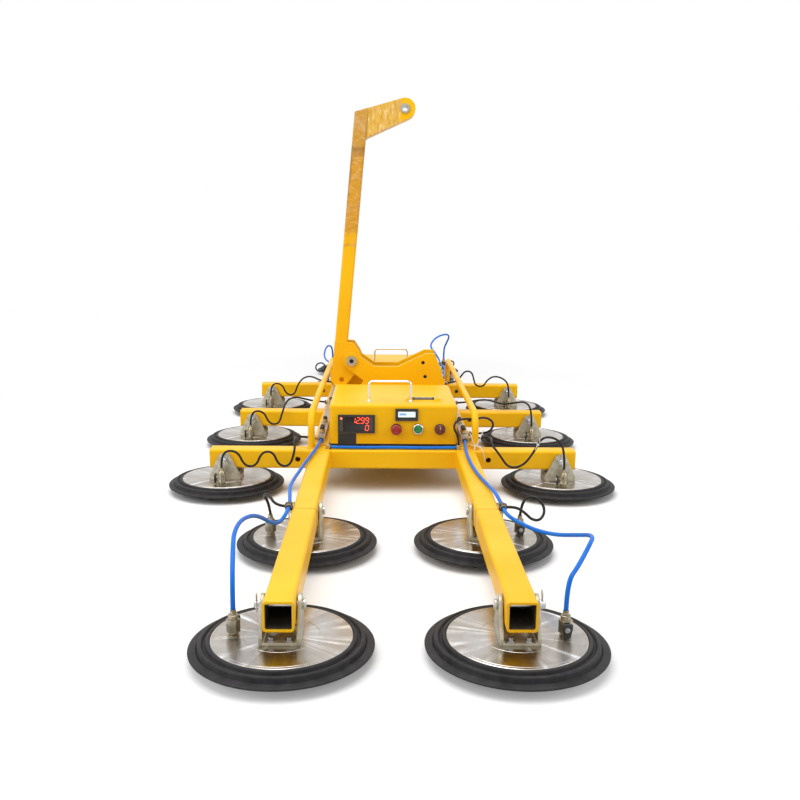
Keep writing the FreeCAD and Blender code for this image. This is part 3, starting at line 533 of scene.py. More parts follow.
# The fourteen pads in their places: two on each arm, and one at each end of the
# three cross tubes. All of a pad but its pin rocks with it.
NEAR_Y = 975
FAR_Y = 1465
SIDE_X = 440
pads = []
SIDES = (("left", -1), ("right", 1))
for end, sy in (("front", -1), ("rear", 1)):
    for side, sx in SIDES:
        for row, y in (("near", NEAR_Y), ("far", FAR_Y)):
            pads.append((end + "_" + side + "_" + row, sx * ARM_X, sy * y, 0 if sx > 0 else 180))
for side, sx in SIDES:
    for row, y in (("front", -CROSS_Y), ("middle", 0), ("rear", CROSS_Y)):
        pads.append(("side_" + side + "_" + row, sx * SIDE_X, y, -90))
for name, x, y, turn in pads:
    at = moved(x, y, 0) @ turned(turn, "Z")
    body = "pad_" + name
    fitted(name + "_rubber", seal_mesh, body, at, [name + "_seal"])
    fitted(name + "_disc", disc_mesh, body, at, [name + "_head"])
    fitted(name + "_saddle", saddle_mesh, body, at)
    fitted(name + "_valve", valve_mesh, body, at)
    fitted(name + "_lever", lever_mesh, body, at)
    clevis = fitted(name + "_pin", low_pin_mesh if name.endswith("near") else pin_mesh, "frame", at)
    if name == "front_left_near":
        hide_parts("clevis_pins")

# Guard rails: one bent pipe down each side, standing on the front and rear cross
# tubes and painted with the frame.
dress(yellow_enamel, "guard_rails")

# Hoods: folded sheet covers over the controls in front and over the battery and
# pump behind, painted like the frame. The bends are rounded. A dark bead runs
# round the foot of each hood, with a dark strip under its outer edge: painted
# shade for the shadow gap between hood and frame.
HOOD_Y = 335
HOOD_TOP = 210
STRIP_X = (-166, -80, 0, 80, 166)
dress(yellow_enamel, "control_hood", "rear_hood")
hood_gap_shade = bmesh.new()
for sy in BOTH:
    wire(hood_gap_shade, [(x, y, 101.8) for x, y in oblong(340.6, 320.6, 9, 6, (0, sy * HOOD_Y))], 1.7, 6, True)
    wire(hood_gap_shade, [(x, sy * 495.3, 98.6) for x in STRIP_X], 1.8, 6)
made_up("hood_gap_shade_lines", hood_gap_shade, [seal_rubber])

# U handle on each hood: polished steel rod, screwed down through a small collar
# at each foot.
polished_rod = finish(
    "polished_rod", (0.8, 0.8, 0.8), (0.7, 0.695, 0.69), 30, 1200, (0.08, 0.18), (0.05, 0.0001), dusty=0.04,
    metallic=1)
dress(polished_rod, "hood_handles")
collars = bmesh.new()
for x, y in ((-65.5, -449), (46.5, -449), (-56, 230), (56, 230)):
    lathe(
        collars, [(3.4, 0), (6.2, 0), (6.6, 0.4), (6.6, 1.6), (6, 2.2), (4.6, 2.6), (3.7, 4), (3.25, 4.4)],
        28, moved(x, y, HOOD_TOP))
made_up("handle_collars", collars, [polished_rod])

# Panel meter: a black moulded case let into the hood, with a smoked window, a
# strip of keys and two rows of red figures. A dark blanking plate sits below.
PANEL_Y = -495
KEYS_X = -58.6
case_plastic = finish(
    "case_plastic", (0.016, 0.016, 0.018), (0.028, 0.028, 0.03), 35, 1400, (0.38, 0.55), (0.2, 0.0002),
    bare=(0.07, 0.07, 0.07), rub_width=0.001, dusty=0.1)
smoked_pane = finish(
    "smoked_pane", (0.01, 0.008, 0.01), (0.018, 0.012, 0.014), 25, 900, (0.06, 0.14), (0.02, 0.0001),
    dusty=0.05, coat=0.4)
key_plastic = finish(
    "key_plastic", (0.055, 0.045, 0.046), (0.08, 0.066, 0.064), 60, 1200, (0.4, 0.55), (0.12, 0.0002),
    bare=(0.25, 0.22, 0.21), rub_width=0.0008)
dress(case_plastic, "panel_meter", "battery_gauge", "switch_bodies")
out_of_panel = moved(0, PANEL_Y, 0) @ turned(90, "X")


def lit(name, colour, second, strength, scale=900):
    """Glowing figures or back-lit film, a little uneven as the lamp behind it is."""
    made = finish(name, colour, second, scale, 1200, (0.3, 0.4), (0.03, 0.0001), dusty=0)
    shader = made.node_tree.nodes["Principled BSDF"]
    glow = grouped(made.node_tree, mottle, {"Colour": colour, "Second": second, "Patch Size": scale * 0.2})
    feed(shader.inputs["Emission Color"], glow["Colour"])
    feed(shader.inputs["Emission Strength"], strength)
    return made


window = bmesh.new()
plate(window, oblong(70.6, 38.4, 1.5, 4, (-98.6, 157.6)), 4.6, 5.3, out_of_panel, 0, 0.2, 1)
plate(window, oblong(8, 38, 1, 4, (-138, 157.5)), 4.6, 5.2, out_of_panel, 1, 0.2, 1)
plate(window, oblong(9, 38, 1, 4, (KEYS_X, 157.5)), 4.6, 5.1, out_of_panel, 1, 0.2, 1)
for z in (144, 153, 162, 171):
    plate(window, oblong(6.4, 6.4, 1.4, 4, (KEYS_X, z)), 5, 5.9, out_of_panel, 1, 0.4, 2)
made_up("meter_window", window, [smoked_pane, key_plastic])

# Red figures of the meter, each made of up to seven lit bars behind the window,
# with a lit mark in the corner. They show plain numbers.
FIGURE_LOW = 5.25
FIGURE_HIGH = 5.5
BAR_HALF = 1.05
BARS = {"a": ((0.08, 1), (0.92, 1)), "b": ((1, 0.95), (1, 0.55)), "c": ((1, 0.45), (1, 0.05)),
        "d": ((0.08, 0), (0.92, 0)), "e": ((0, 0.45), (0, 0.05)), "f": ((0, 0.95), (0, 0.55)),
        "g": ((0.08, 0.5), (0.92, 0.5))}
LIT_BARS = {"0": "abcdef", "1": "bc", "2": "abged", "9": "abcdfg"}
red_figures = lit("red_figures", (1, 0.05, 0.02), (1, 0.11, 0.04), 1.5)
white_spark = lit("white_spark", (1, 0.82, 0.8), (1, 0.7, 0.66), 1)
figures = bmesh.new()


def show(text, right, low, tall, wide=8.4, pitch=12):
    """Seven-bar figures, set from the right and leaning a little."""
    x = right
    for letter in reversed(text):
        if letter == ".":
            lathe(
                figures, [(1.15, 0), (1.15, 0.25), (0, 0.3)], 12,
                out_of_panel @ moved(x + wide + 1.6, low + 0.4, FIGURE_LOW))
            continue
        for bar in LIT_BARS[letter]:
            start, end = [Vector((x + a * wide + 0.1 * b * tall, low + b * tall)) for a, b in BARS[bar]]
            way = (end - start).normalized() * BAR_HALF
            side = Vector((-way.y, way.x))
            line = [start, start + way + side, end - way + side, end, end - way - side, start + way - side]
            plate(figures, [(p.x, p.y) for p in line][::-1], FIGURE_LOW, FIGURE_HIGH, out_of_panel)
        x -= pitch


show("12.99", -74.8, 159.8, 15.2)
show("0", -74.8, 140.6, 14.2)
plate(figures, oblong(5.6, 5.6, 0.5, 3, (-138.2, 172.6)), 5.1, FIGURE_HIGH, out_of_panel, 0, 0.15, 1)
plate(figures, oblong(2.4, 2.4, 1, 4, (-137.4, 172.2)), 5.45, 5.7, out_of_panel, 1)
made_up("meter_figures", figures, [red_figures, white_spark])

# Battery gauge: black bezel with a back-lit display behind clear film, and a row
# of blue bars that shows the charge.
lit_film = lit("lit_film", (0.62, 0.76, 0.8), (0.74, 0.84, 0.86), 0.45, 120)
blue_bars = lit("blue_bars", (0.03, 0.2, 0.55), (0.05, 0.26, 0.62), 0.25, 300)
display = bmesh.new()
plate(display, oblong(46, 15, 1.2, 4, (35.4, 184)), 3.4, 4, out_of_panel, 0, 0.2, 1)
for i in range(6):
    plate(display, oblong(2.4, 4.2, 0.3, 3, (17.2 + i * 3, 185)), 3.95, 4.15, out_of_panel, 1)
plate(display, oblong(19, 0.6, 0.2, 3, (24.6, 181.4)), 3.95, 4.1, out_of_panel, 1)
made_up("gauge_display", display, [lit_film, blue_bars])

# Push buttons and turning knob in 22 mm holes: a red mushroom that stops the
# pump, a green button in a bright ring that starts it, a brown knob that selects.
STEM = [(0, -25), (9, -25)]
red_cap = finish(
    "red_cap", (0.34, 0.008, 0.011), (0.26, 0.006, 0.009), 40, 1300, (0.22, 0.36), (0.06, 0.0002),
    bare=(0.62, 0.1, 0.09), rub_width=0.0012, dusty=0.06, coat=0.2)
green_cap = finish(
    "green_cap", (0.008, 0.2, 0.06), (0.01, 0.26, 0.085), 60, 1300, (0.2, 0.34), (0.06, 0.0002),
    bare=(0.2, 0.46, 0.25), rub_width=0.0012, dusty=0.05, coat=0.2)
knob_brown = finish(
    "knob_brown", (0.2, 0.03, 0.02), (0.13, 0.022, 0.016), 60, 1300, (0.24, 0.4), (0.08, 0.0002),
    bare=(0.42, 0.16, 0.12), rub_width=0.0012, dusty=0.06, coat=0.15)
pointer_white = finish(
    "pointer_white", (0.74, 0.7, 0.66), (0.62, 0.58, 0.54), 90, 1300, (0.35, 0.5), (0.06, 0.0002))
at_stop, at_start, at_knob = [out_of_panel @ moved(x, 144, 0) for x in (8, 66, 124)]
stop = bmesh.new()
mushroom = [
    (9, 9.6), (12.8, 9.5), (13.8, 10.2), (14, 11.4), (13.9, 13.8), (13.2, 15.6), (11.6, 16.8), (8.6, 17.6),
    (4.6, 17.95), (0, 18)]
lathe(stop, STEM + mushroom, 48, at_stop)
made_up("stop_mushroom", stop, [red_cap], "stop_button", ["stop_button"], 50)
start = bmesh.new()
lathe(start, STEM + [(9, 8.4), (8.6, 9.2), (7.8, 9.5), (7, 9.3), (4, 8.9), (0, 8.8)], 48, at_start)
made_up("start_cap", start, [green_cap], "start_button", ["start_button"], 50)
ring = bmesh.new()
lathe(
    ring, [(10.2, 3.6), (10.2, 4.6), (10.8, 5.3), (12.4, 5.5), (13.6, 5.1), (14.2, 4.2), (14.3, 3.6)], 48,
    at_start)
made_up("start_ring", ring, [polished_rod], sharp=50)
knob = bmesh.new()
lathe(
    knob, STEM + [(9, 4.3), (12.4, 4.3), (13, 5), (13, 9.4), (12, 10.7), (10.4, 11), (0, 11)], 48, at_knob)
plate(knob, oblong(7, 22, 3), 10.6, 19, at_knob, 0, 1.2, 3)
plate(knob, oblong(1.6, 7.5, 0.7, 4, (0, 6)), 18.9, 19.2, at_knob, 1)
made_up(
    "selector_grip", knob, [knob_brown, pointer_white], "selector_knob", ["selector_knob"])

# Spirit level screwed to the top of the control hood: a bright yellow moulded
# frame, a tinted vial with its bubble, and a dark stop at each end of the vial.
LEVEL_Y = -430
VIAL_R = 4
level_plastic = finish(
    "level_plastic", (0.9, 0.62, 0.03), (0.86, 0.56, 0.02), 30, 1300, (0.26, 0.4), (0.08, 0.0002),
    bare=(0.95, 0.8, 0.3), rub_width=0.0012, dusty=0.08)
vial_tint = finish(
    "vial_tint", (0.1, 0.095, 0.12), (0.15, 0.14, 0.17), 45, 900, (0.05, 0.1), (0.02, 0.0001), dusty=0.03,
    coat=0.6)
bubble_film = finish(
    "bubble_film", (0.62, 0.62, 0.66), (0.7, 0.69, 0.72), 60, 900, (0.05, 0.1), (0.02, 0.0001), dusty=0,
    coat=0.6)
level = bmesh.new()
plate(level, oblong(96, 16, 2, 5, (81, LEVEL_Y)), HOOD_TOP, HOOD_TOP + 1.2, soften=0.3)
for x, wide in ((42.5, 19), (120, 18)):
    plate(level, oblong(wide, 16, 2.4, 5, (x, LEVEL_Y)), HOOD_TOP + 0.8, HOOD_TOP + 8, soften=1)
    cap_screw(level, moved(x, LEVEL_Y, HOOD_TOP + 7.4), 2.8, 2, 2)
for sy in BOTH:
    plate(
        level, oblong(60, 1.6, 0.5, 3, (81.5, LEVEL_Y + sy * 7)), HOOD_TOP + 0.8, HOOD_TOP + 2.4,
        soften=0.3)
inside = moved(52, LEVEL_Y, HOOD_TOP + 4.4) @ turned(90, "Y")
lathe(level, [(0, 0), (3.6, 0), (VIAL_R, 0.4), (VIAL_R, 58.6), (3.6, 59), (0, 59)], 28, inside, 1)
for z, wide in ((0.2, 5.4), (53.4, 5.4), (22, 0.7), (36.4, 0.7)):
    lathe(
        level, [(VIAL_R, z), (VIAL_R + 0.15, z + 0.1), (VIAL_R + 0.15, z + wide - 0.1), (VIAL_R, z + wide)],
        28, inside, 3)
lathe(
    level, [(0, 24.4), (1.1, 24.9), (1.5, 26.6), (1.6, 29.5), (1.5, 32.4), (1.1, 34.1), (0, 34.6)], 16,
    moved(0, 0, 2.7) @ inside, 4)
made_up(
    "level_frame", level, [level_plastic, vial_tint, bolt_steel, case_plastic, bubble_film],
    "frame", ["spirit_level"])

# Tilt bracket: two thick cheek plates on the deck, painted with the frame, with
# spacers between them. The axle is a plated bolt with a deep bore in its head.
dress(yellow_enamel, "pivot_cheeks")
dress(bolt_steel, "pivot_bolt", "lock_bolt")
# Dark caps in the bore of the bolt head and in the four holes of the cheeks: painted shade for the dark
# inside of the holes.
hole_shade = bmesh.new()
lathe(hole_shade, [(6.45, 0.6), (6.45, -5), (5.6, -5.6), (0, -5.8)], 28, moved(-126, -60, 262) @ turned(90, "X"))
for x, z in ((97, 258), (104, 214)):
    for sy in BOTH:
        lathe(
            hole_shade, [(5.45, -0.4), (5.3, -2.4), (4.2, -2.8), (3.6, -4.4), (0, -4.6)], 24,
            moved(x, sy * 53, z) @ turned(-90 * sy, "X"))
made_up("painted_hole_shade", hole_shade, [scale_and_shade])

# Lifting mast: rectangular tube on two foot plates, with a welded box gooseneck
# and a turned steel bush in the lifting eye. It is painted with the frame.
dress(yellow_enamel, "mast_foot_plates")
bush_steel = finish(
    "bush_steel", (0.5, 0.49, 0.44), (0.36, 0.36, 0.31), 60, 900, (0.24, 0.42), (0.12, 0.0002),
    bare=(0.76, 0.75, 0.71), rub_width=0.0015, rubbed=0.7, dusty=0.08, metallic=1)
dress(bush_steel, "eye_bush", "pivot_bush")

# The upper half of the mast is still wound in packing film: thin, tan and crinkled
# across its turns, with a dark lap below the gooseneck. The eye itself is left bare.
# Its places are in metres, as the shader reads them.
LAP_TOP = (0.913, 0.907)
NECK_X = (-0.085, -0.078)
EYE_X = (0.02, 0.015)
wound_enamel = enamel("wound_enamel")
tree = wound_enamel.node_tree
shader = tree.nodes["Principled BSDF"]
spot = spot_in(tree)
apart = node_in(tree, "SeparateXYZ", {0: spot})
ragged = spread(noise_at(spot, 60, 3), 0.3, 0.7, -0.006, 0.006)
along = times(apart.outputs["X"], ragged, "ADD")
height = times(apart.outputs["Z"], ragged, "ADD")
neck = spread(apart.outputs["X"], *NECK_X)
hem = times(spread(height, 0.611, 0.614), spread(height, 0.624, 0.62, 0.15, 0.7))
wound = times(spread(height, 0.638, 0.664), hem, "MAXIMUM")
wound = times(wound, spread(along, *EYE_X))
below_lap = spread(height, *LAP_TOP)
lap = times(below_lap, spread(height, 0.872, 0.9, 0, 0.8))
# The dark strip along the mast's left corner is painted shade, for the mast's shaded left side face.
leaning = times(along, times(height, -0.0875), "ADD")
corner = times(spread(leaning, -0.2055, -0.201, 0.75, 0), spread(height, 0.7, 0.76))
corner = times(corner, below_lap)
turns = []
for scale, turn in (((70, 60, 130), 0.5), ((125, 40, 40), 0.4)):
    wrap = node_in(tree, "Mapping", {"Rotation": (0, turn, 0), "Scale": scale, "Vector": spot})
    turns.append(wrap.outputs[0])
streak = noise_at(blend(neck, *turns), 1, 5)
milky = spread(noise_at(spot, 24, 3), 0.52, 0.74, 0, 0.6)
# The light streaks (glint) are painted highlights on the crinkled film, and the dark streaks mixed in below
# are painted shade in its folds.
glint = times(spread(streak, 0.55, 0.68), spread(neck, 0, 1, 0.3, 0.95))
film_colour = (0.68, 0.325, 0.028)
for mask, colour in ((spread(height, 0.86, 0.9), (0.6, 0.315, 0.05)),
                     (neck, (0.78, 0.46, 0.08)),
                     (milky, (0.7, 0.45, 0.23)),
                     (spread(streak, 0.5, 0.36, 0, 0.55), (0.54, 0.27, 0.02)),
                     (glint, (0.97, 0.72, 0.34)),
                     (times(lap, corner, "MAXIMUM"), (0.36, 0.16, 0.03))):
    film_colour = blend(mask, film_colour, colour)
painted = shader.inputs["Base Color"].links[0].from_socket
feed(shader.inputs["Base Color"], blend(wound, painted, film_colour))
bumped = shader.inputs["Normal"].links[0].from_node
grain = bumped.inputs["Height"].links[0].from_socket
crinkle = times(times(streak, wound), 2.5)
feed(bumped.inputs["Height"], times(grain, crinkle, "ADD"))
dress(wound_enamel, "mast_tube", "gooseneck")

# Plumbing: an alloy manifold bar along each side of the deck, brass push-in
# fittings with dark collars on it, a tee on each arm and elbows at the ends.
BAR_X = 193
BAR_UP = 110
TEE_X = 223
TEE_Y = 1025
FLATS = 13.2
bar_alloy = finish(
    "bar_alloy", (0.62, 0.62, 0.62), (0.48, 0.48, 0.475), 40, 900, (0.28, 0.45), (0.14, 0.0003),
    bare=(0.82, 0.82, 0.81), rub_width=0.0015, dusty=0.12, metallic=1)
dress(bar_alloy, "manifold_bars")
fitting_brass = finish(
    "fitting_brass", (0.58, 0.45, 0.24), (0.42, 0.32, 0.17), 60, 900, (0.2, 0.38), (0.12, 0.0002),
    bare=(0.9, 0.74, 0.42), rub_width=0.001, rubbed=0.7, dusty=0.06, metallic=1)
fittings = bmesh.new()


def facing_way(x, y, z, way):
    """Place with its Z along a way, at a point in millimetres."""
    return moved(x, y, z) @ Vector((0, 0, 1)).rotation_difference(Vector(way)).to_matrix().to_4x4()


def push_in(at, deep=14):
    """Push-in fitting: a brass hexagon and barrel, and a dark collar to let go of the hose."""
    plate(fittings, hexagon(FLATS), 0.2, 4.8, at, 0, 0.5)
    lathe(
        fittings, [(5.6, 4.4), (6.2, 4.8), (6.2, deep - 3.6), (5.8, deep - 3.2), (4.2, deep - 3.2)], 24, at)
    lathe(
        fittings, [(5.4, deep - 3.4), (6.6, deep - 3), (6.6, deep - 0.8), (6, deep), (4.1, deep),
        (4.1, deep - 2)], 24, at, 1)


for sx in BOTH:
    for y in (-455, 60, 455) + ((-395,) if sx > 0 else ()):
        push_in(facing_way(sx * (BAR_X + 10), y, BAR_UP, (sx, 0, 0)))
    for y in (-436, -412, -300, 0, 300, 430):
        plugged = facing_way(sx * BAR_X, y, BAR_UP + 10, (0, 0, 1))
        push_in(plugged, 13)
        lathe(fittings, [(4.4, 12), (5.4, 12.6), (5.6, 15.4), (4.8, 17), (0, 17.4)], 20, plugged, 1)
    for sy in BOTH:
        push_in(facing_way(sx * BAR_X, sy * 470, BAR_UP, (0, sy, 0)))
        tee = facing_way(sx * TEE_X, sy * TEE_Y, TUBE_TOP, (0, -1, 0))
        plate(fittings, oblong(15, 15, 2, 4), -6, 6, tee, 1, 0.8)
        for way in BOTH:
            push_in(facing_way(sx * TEE_X, sy * TEE_Y + way * 2, TUBE_TOP, (0, way, 0)), 12)
        push_in(facing_way(sx * (TEE_X - 4), sy * TEE_Y, TUBE_TOP, (sx, 0, 0)), 12)
        elbow = facing_way(sx * 172, sy * 529, TUBE_TOP, (0, 0, 1))
        plate(fittings, hexagon(FLATS), 0, 3.4, elbow, 0, 0.5)
        plate(fittings, oblong(12, 12, 2, 4), 3, 14, elbow, 0, 1)
        lathe(
            fittings, [(5.2, 0), (6.2, 0.2), (6.2, 3.2), (5.6, 4), (4.1, 4), (4.1, 2)], 24,
            facing_way(sx * 168.6, sy * 528, 102, (-sx, 0, 0)), 1)
lathe(
    fittings, [(5.2, -0.4), (6, -0.2), (6, 0.2), (3.2, 0.4), (3.2, -0.4)], 24,
    facing_way(172, -529, BAR_UP, (0, 0, 1)), 1)
made_up(
    "brass_fittings", fittings, [fitting_brass, lever_plastic], "frame", ["hose_fittings"])

# Hoses: 8 mm blue polyurethane tube along the arms and across both ends, 6 mm
# black tube to the side pads and the near pads. Each one runs from fitting to
# valve and keeps the bend it was pushed on with.
BLUE_THICK = 8
BLACK_THICK = 6
blue_tube = finish(
    "blue_tube", (0.001, 0.135, 0.62), (0.003, 0.18, 0.7), 22, 900, (0.26, 0.4), (0.05, 0.0002), dusty=0.02,
    specular=0.2)
black_tube = finish(
    "black_tube", (0.008, 0.0072, 0.0072), (0.015, 0.0135, 0.0135), 22, 900, (0.3, 0.46), (0.06, 0.0002),
    dusty=0.03, specular=0.25)


def hose(name, route, length, blue=False, node=None):
    """One tube on its route, given in millimetres."""
    thick = BLUE_THICK if blue else BLACK_THICK
    curve = bpy.data.curves.new(name, "CURVE")
    curve.dimensions = "3D"
    curve.resolution_u = 10
    curve.bevel_depth = thick / 2 * MM
    curve.bevel_resolution = 5
    curve.use_fill_caps = True
    line = curve.splines.new("NURBS")
    line.points.add(len(route) - 1)
    for point, (x, y, z) in zip(line.points, route):
        point.co = (x * MM, y * MM, z * MM, 1)
    line.order_u = 3
    line.use_endpoint_u = True
    curve.materials.append(blue_tube if blue else black_tube)
    piece = placed(name, curve)
    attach(piece, "frame")
    [c * MM for c in route[0]]
    if node:
        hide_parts(node)


def mirrored(route, sx, sy):
    return [(sx * x, sy * y, z) for x, y, z in route]


ACROSS = [(-164.4, -528, 102), (-82.2, -531, 101), (0, -528, 102), (82.2, -531, 101), (164.4, -528, 102)]
hose("front_link_hose", ACROSS, 329, True, "blue_hoses")
hose("rear_link_hose", mirrored(ACROSS, -1, -1), 329, True)

# Arm lines: from the end of a manifold bar along the arm to the tee past the
# near pad. The front right one and its twin at the rear lie on top of the arm.
OVER = [
    (193, -484.6, 110), (186, -560, 107.5), (187, -650, 102.5), (191, -735, 101.5), (199, -815, 101.5),
    (210, -890, 102), (219, -955, 103), (223, -1010.4, 96)]
BESIDE = [
    (193, -484.6, 110), (199, -548, 106), (208, -615, 103), (217, -690, 102), (225, -765, 101),
    (232, -840, 100.5), (234, -905, 101), (227, -966, 99.5), (223, -1010.4, 96)]
# Far lines: from the tee in a loop, down on the far valve.
FAR_WIDE = [
    (223, -1039.6, 96), (224.5, -1069.6, 94), (244, -1111.6, 91), (270, -1161.6, 92), (298, -1216.6, 102),
    (323, -1284.6, 126), (337, -1344.6, 147), (318, -1394.6, 147), (292, -1433.6, 125), (268, -1465, 110.6),
    (268, -1465, 62.6)]
FAR_HIGH = [
    (223, -1039.6, 96), (224, -1067.6, 93.5), (235, -1104.6, 85), (247, -1144.6, 100), (258, -1189.6, 126),
    (269, -1239.6, 146), (280, -1299.6, 156), (282, -1357.6, 153), (276, -1405.6, 141), (268, -1465, 110.6),
    (268, -1465, 62.6)]
FAR_TALL = [
    (223, -1039.6, 96), (224, -1067.6, 98.5), (221, -1109.6, 108), (206, -1159.6, 129), (187, -1214.6, 150),
    (205, -1274.6, 172), (237, -1329.6, 186), (277, -1374.6, 189), (289, -1411.6, 171), (278, -1444.6, 136),
    (268, -1465, 110.6), (268, -1465, 62.6)]
FAR_LOW = [
    (223, -1039.6, 96), (224, -1067.6, 93.5), (237, -1104.6, 85), (262, -1159.6, 80), (284, -1224.6, 80),
    (298, -1294.6, 88), (300, -1364.6, 108), (288, -1419.6, 126), (268, -1465, 110.6), (268, -1465, 62.6)]
# Near lines: from the side of the tee back on to the near valve, in a whole loop
# or one short turn.
NEAR_LOOP = [
    (231.6, -1025, 96), (250.6, -1025, 96.5), (269.6, -1019, 83), (287.6, -1013, 64), (306.6, -1008, 62),
    (317.6, -998, 79), (309.6, -986, 99), (288, -977, 106.6), (271, -975, 92.6), (268, -975, 62.6)]
NEAR_SHORT = [
    (231.6, -1025, 96), (251.6, -1025, 98), (266.6, -1008, 116), (281.6, -988, 109), (272, -975, 89.6),
    (268, -975, 62.6)]
for place, sx, sy, arm, far, far_long, near, near_long in (
        ("front_left", -1, 1, BESIDE, FAR_HIGH, 498, NEAR_SHORT, 121),
        ("front_right", 1, 1, OVER, FAR_WIDE, 524, NEAR_LOOP, 206),
        ("rear_right", 1, -1, BESIDE, FAR_TALL, 549, NEAR_SHORT, 121),
        ("rear_left", -1, -1, OVER, FAR_LOW, 493, NEAR_LOOP, 206)):
    hose(place + "_arm_hose", mirrored(arm, sx, sy), 529, True)
    hose(place + "_far_hose", mirrored(far, sx, sy), far_long, True)
    hose(place + "_near_hose", mirrored(near, sx, sy), near_long, False,
         "black_hoses" if place == "front_left" else None)

# Side lines: from each valve on a cross tube to a port of the manifold bar, in
# waves in front of the tube or over it. One more goes round the hood's corner.
for name, length, route in (
        ("side_left_front", 453, [
            (-440, -593, 62.6), (-440, -593, 104.6), (-400, -583, 104.6), (-385, -572, 60.6),
            (-355, -567, 58.6), (-341, -566, 96.6), (-311, -566, 98.6), (-297, -566, 60.6),
            (-268, -564, 58.6), (-256, -559, 98.6), (-258, -535, 119.6), (-262, -500, 120.6),
            (-255.6, -455, 113), (-217.6, -455, 110)]),
        ("side_left_middle", 378, [
            (-440, -78, 62.6), (-440, -78, 104.6), (-400, -68, 104.6), (-385, -57, 60.6), (-355, -52, 58.6),
            (-344, -46, 96.6), (-334, -22, 128.6), (-312, 16, 134.6), (-284, 48, 122.6), (-255.6, 60, 113),
            (-217.6, 60, 110)]),
        ("side_left_rear", 324, [
            (-440, 437, 62.6), (-440, 437, 104.6), (-400, 447, 104.6), (-385, 458, 60.6), (-355, 463, 58.6),
            (-344, 467, 96.6), (-322, 465, 124.6), (-290, 461, 130.6), (-255.6, 455, 113),
            (-217.6, 455, 110)]),
        ("side_right_rear", 344, [
            (440, 437, 62.6), (440, 438, 105.6), (420, 442, 129.6), (386, 448, 138.6), (360, 452, 122.6),
            (347, 454, 96.6), (317, 456, 99.6), (310, 456, 127.6), (302, 456, 151.6), (278, 456, 155.6),
            (262, 455, 133.6), (245.6, 455, 113), (217.6, 455, 110)]),
        ("side_right_front", 446, [
            (440, -593, 62.6), (440, -592, 116.6), (418, -580, 142.6), (384, -564, 140.6),
            (366, -563, 100.6), (338, -565, 62.6), (300, -566, 56.6), (276, -563, 92.6), (254, -545, 118.6),
            (262, -500, 122.6), (255.6, -455, 113), (217.6, -455, 110)]),
        ("side_right_middle", 331, [
            (440, -78, 62.6), (440, -77, 112.6), (424, -58, 138.6), (392, -30, 128.6), (356, 0, 116.6),
            (318, 30, 126.6), (286, 52, 121.6), (255.6, 60, 113), (217.6, 60, 110)]),
        ("return", 299, [
            (172, -529, 110.6), (170, -529, 134.6), (157, -524, 154.6), (166, -508, 170.6),
            (190, -492, 172.6), (218, -468, 165.6), (250, -447, 168.6), (276, -432, 150.6),
            (272, -412, 122.6), (249.6, -398, 111), (217.6, -395, 110)])):
    hose(name + "_hose", route, length)

# White nylon ties: one gathers the lines at the foot of the right guard rail and
# one hangs on the side line. Their tails were never cut off.
tie_nylon = finish(
    "tie_nylon", (0.8, 0.79, 0.75), (0.7, 0.69, 0.64), 60, 900, (0.3, 0.45), (0.06, 0.0002), dusty=0.06)
ties = bmesh.new()


def tie(at, r, tails):
    """A closed band with its lock, and the tails that stand off it."""
    wire(ties, [(x, y, 0) for x, y in circle(r, 24)], 0.9, 6, True, 0, at)
    plate(ties, oblong(5.2, 4.2, 0.8, 3, (0, -r - 1.2)), -2.4, 2.4, at, 0, 0.5)
    for tail in tails:
        wire(ties, tail, 1, 6)


tie(moved(RAIL_X, -CROSS_Y, 107), 10, [
    [(216, -526, 107), (210, -529, 118), (201, -530, 142)],
    [(217, -526, 107), (226, -529, 122), (236, -530, 150)],
    [(218, -526, 107), (229, -537, 105), (235, -543.5, 96), (241, -544.5, 70)],
    [(215, -526, 107), (214, -538, 104), (211, -543.5, 95), (206, -544.5, 72)]])
tie(facing_way(375, -563.5, 120.6, (-18, 1, -40)), 3.8, [
    [(375, -568, 122), (371, -572, 118), (366, -574, 108)],
    [(375, -568, 122), (378, -573, 128), (377, -574, 140)]])
made_up("cable_ties", ties, [tie_nylon])

# What the hoods cover: sealed battery, vacuum pump, release valve and the board
# that runs them, bolted to the deck plate.
battery_case = finish(
    "battery_case", (0.03, 0.032, 0.036), (0.045, 0.047, 0.05), 20, 900, (0.4, 0.55), (0.14, 0.0003))
cast_pump = finish(
    "cast_pump", (0.16, 0.17, 0.18), (0.11, 0.115, 0.12), 40, 420, (0.45, 0.65), (0.35, 0.0006),
    metallic=0.6)
board_green = finish(
    "board_green", (0.015, 0.11, 0.04), (0.02, 0.15, 0.055), 120, 900, (0.28, 0.42), (0.12, 0.0002))
dress(battery_case, "battery")
dress(cast_pump, "vacuum_pump")
dress(fitting_brass, "release_valve")
dress(board_green, "control_board")

# Pale painted floor that fades into a white surround. It lies a little below the
# plane that the pads rest on, so that a rocked pad clears it.
FLOOR_HALF = 9
FLOOR_UP = -17 * MM


def seen_directly(tree):
    """One for what the camera, a gloss or a clear piece shows, none for plain light."""
    rays = node_in(tree, "LightPath").outputs
    mirrored_or_clear = times(rays["Is Glossy Ray"], rays["Is Transmission Ray"], "MAXIMUM")
    return times(rays["Is Camera Ray"], mirrored_or_clear, "MAXIMUM")


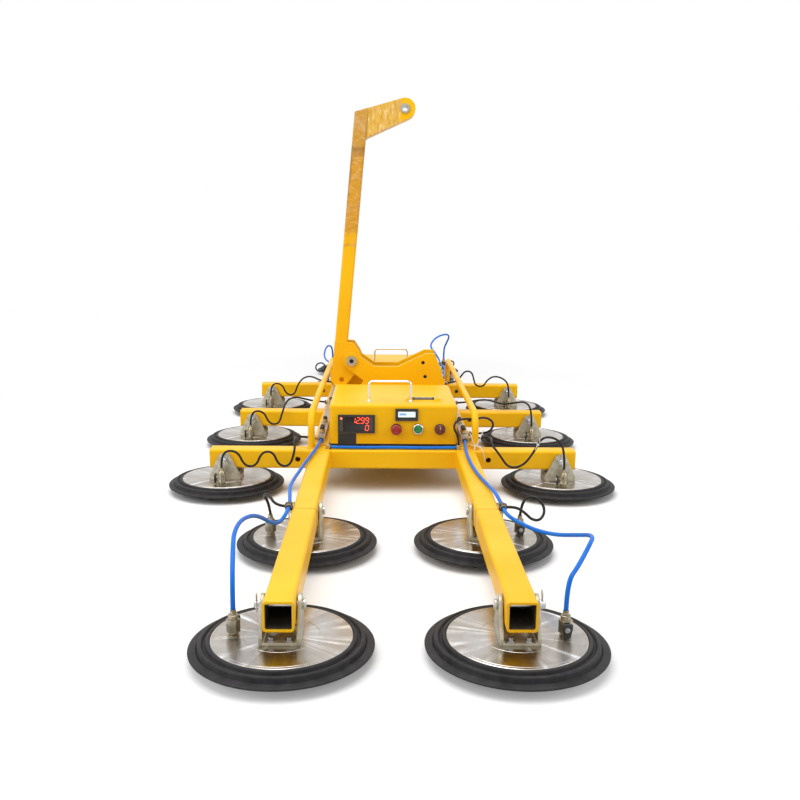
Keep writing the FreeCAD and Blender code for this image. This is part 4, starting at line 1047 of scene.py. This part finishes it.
floor_mesh = bpy.data.meshes.new("floor")
floor_corners = [(x * FLOOR_HALF, y * FLOOR_HALF, FLOOR_UP) for x, y in ((-1, -1), (1, -1), (1, 1), (-1, 1))]
floor_mesh.from_pydata(floor_corners, [], [(0, 1, 2, 3)])
floor = placed("floor", floor_mesh)
floor_paint = bpy.data.materials.new("floor_paint")
floor_paint.use_nodes = True
tree = floor_paint.node_tree
ground = tree.nodes["Principled BSDF"]
seen = seen_directly(tree)
floor_colour = blend(seen, (0.62, 0.62, 0.62), (0.93, 0.93, 0.93))
for label, given in (("Base Color", floor_colour), ("Roughness", 0.9), ("Specular IOR Level", 0.1)):
    feed(ground.inputs[label], given)
reach = node_in(tree, "VectorMath", {0: spot_in(tree), 1: (1.9, 0.95, 1)}, operation="MULTIPLY")
away = node_in(tree, "VectorMath", {0: reach.outputs[0]}, operation="LENGTH")
fade = times(spread(away.outputs["Value"], 1.3, 2.3), seen)
white = node_in(tree, "Emission")
joined = node_in(tree, "MixShader", {0: fade, 1: ground.outputs[0], 2: white.outputs[0]})
feed(tree.nodes["Material Output"].inputs["Surface"], joined.outputs[0])
floor_mesh.materials.append(floor_paint)

# White surround, a large soft light overhead and two weaker ones at the sides.
# The surround gives less light than it shows, so that the pads keep a shadow.
surround = bpy.data.worlds.new("surround")
bpy.context.scene.world = surround
surround.use_nodes = True
tree = surround.node_tree
sky = tree.nodes["Background"]
feed(sky.inputs["Strength"], spread(seen_directly(tree), 0, 1, 0.5))
feed(sky.inputs["Color"], (1, 1, 1))
for name, at, aim, size, power in (("overhead", (-0.6, -0.8, 4.2), (0, 0, 0), 4, 146),
                                   ("left_side", (-3.6, -2.6, 2.2), (0, -0.4, 0.3), 2, 62),
                                   ("right_side", (3.6, -2.2, 2), (0, -0.4, 0.3), 2, 44)):
    lamp = bpy.data.lights.new(name, "AREA")
    lamp.size = size
    lamp.energy = power
    holder = placed(name, lamp)
    holder.location = at
    holder.rotation_euler = (Vector(aim) - Vector(at)).to_track_quat("-Z", "Y").to_euler()

# Camera at the photograph's height and angle, in front of the arms. It looks a
# little down and to the right, and is not quite level.
LOOKS_DOWN = 10.658
LOOKS_RIGHT = 1.232
LEANS = 0.638
eye = bpy.data.cameras.new("front_view")
eye.sensor_width = 36
eye.lens = 40.17
view = placed("front_view", eye)
aimed = turned(-LOOKS_RIGHT, "Z") @ turned(90 - LOOKS_DOWN, "X") @ turned(LEANS, "Z")
view.matrix_world = moved(-33, -2813.1, 658.8) @ aimed
bpy.context.scene.camera = view
bpy.context.scene.view_settings.view_transform = "Standard"

bpy.context.view_layer.update()
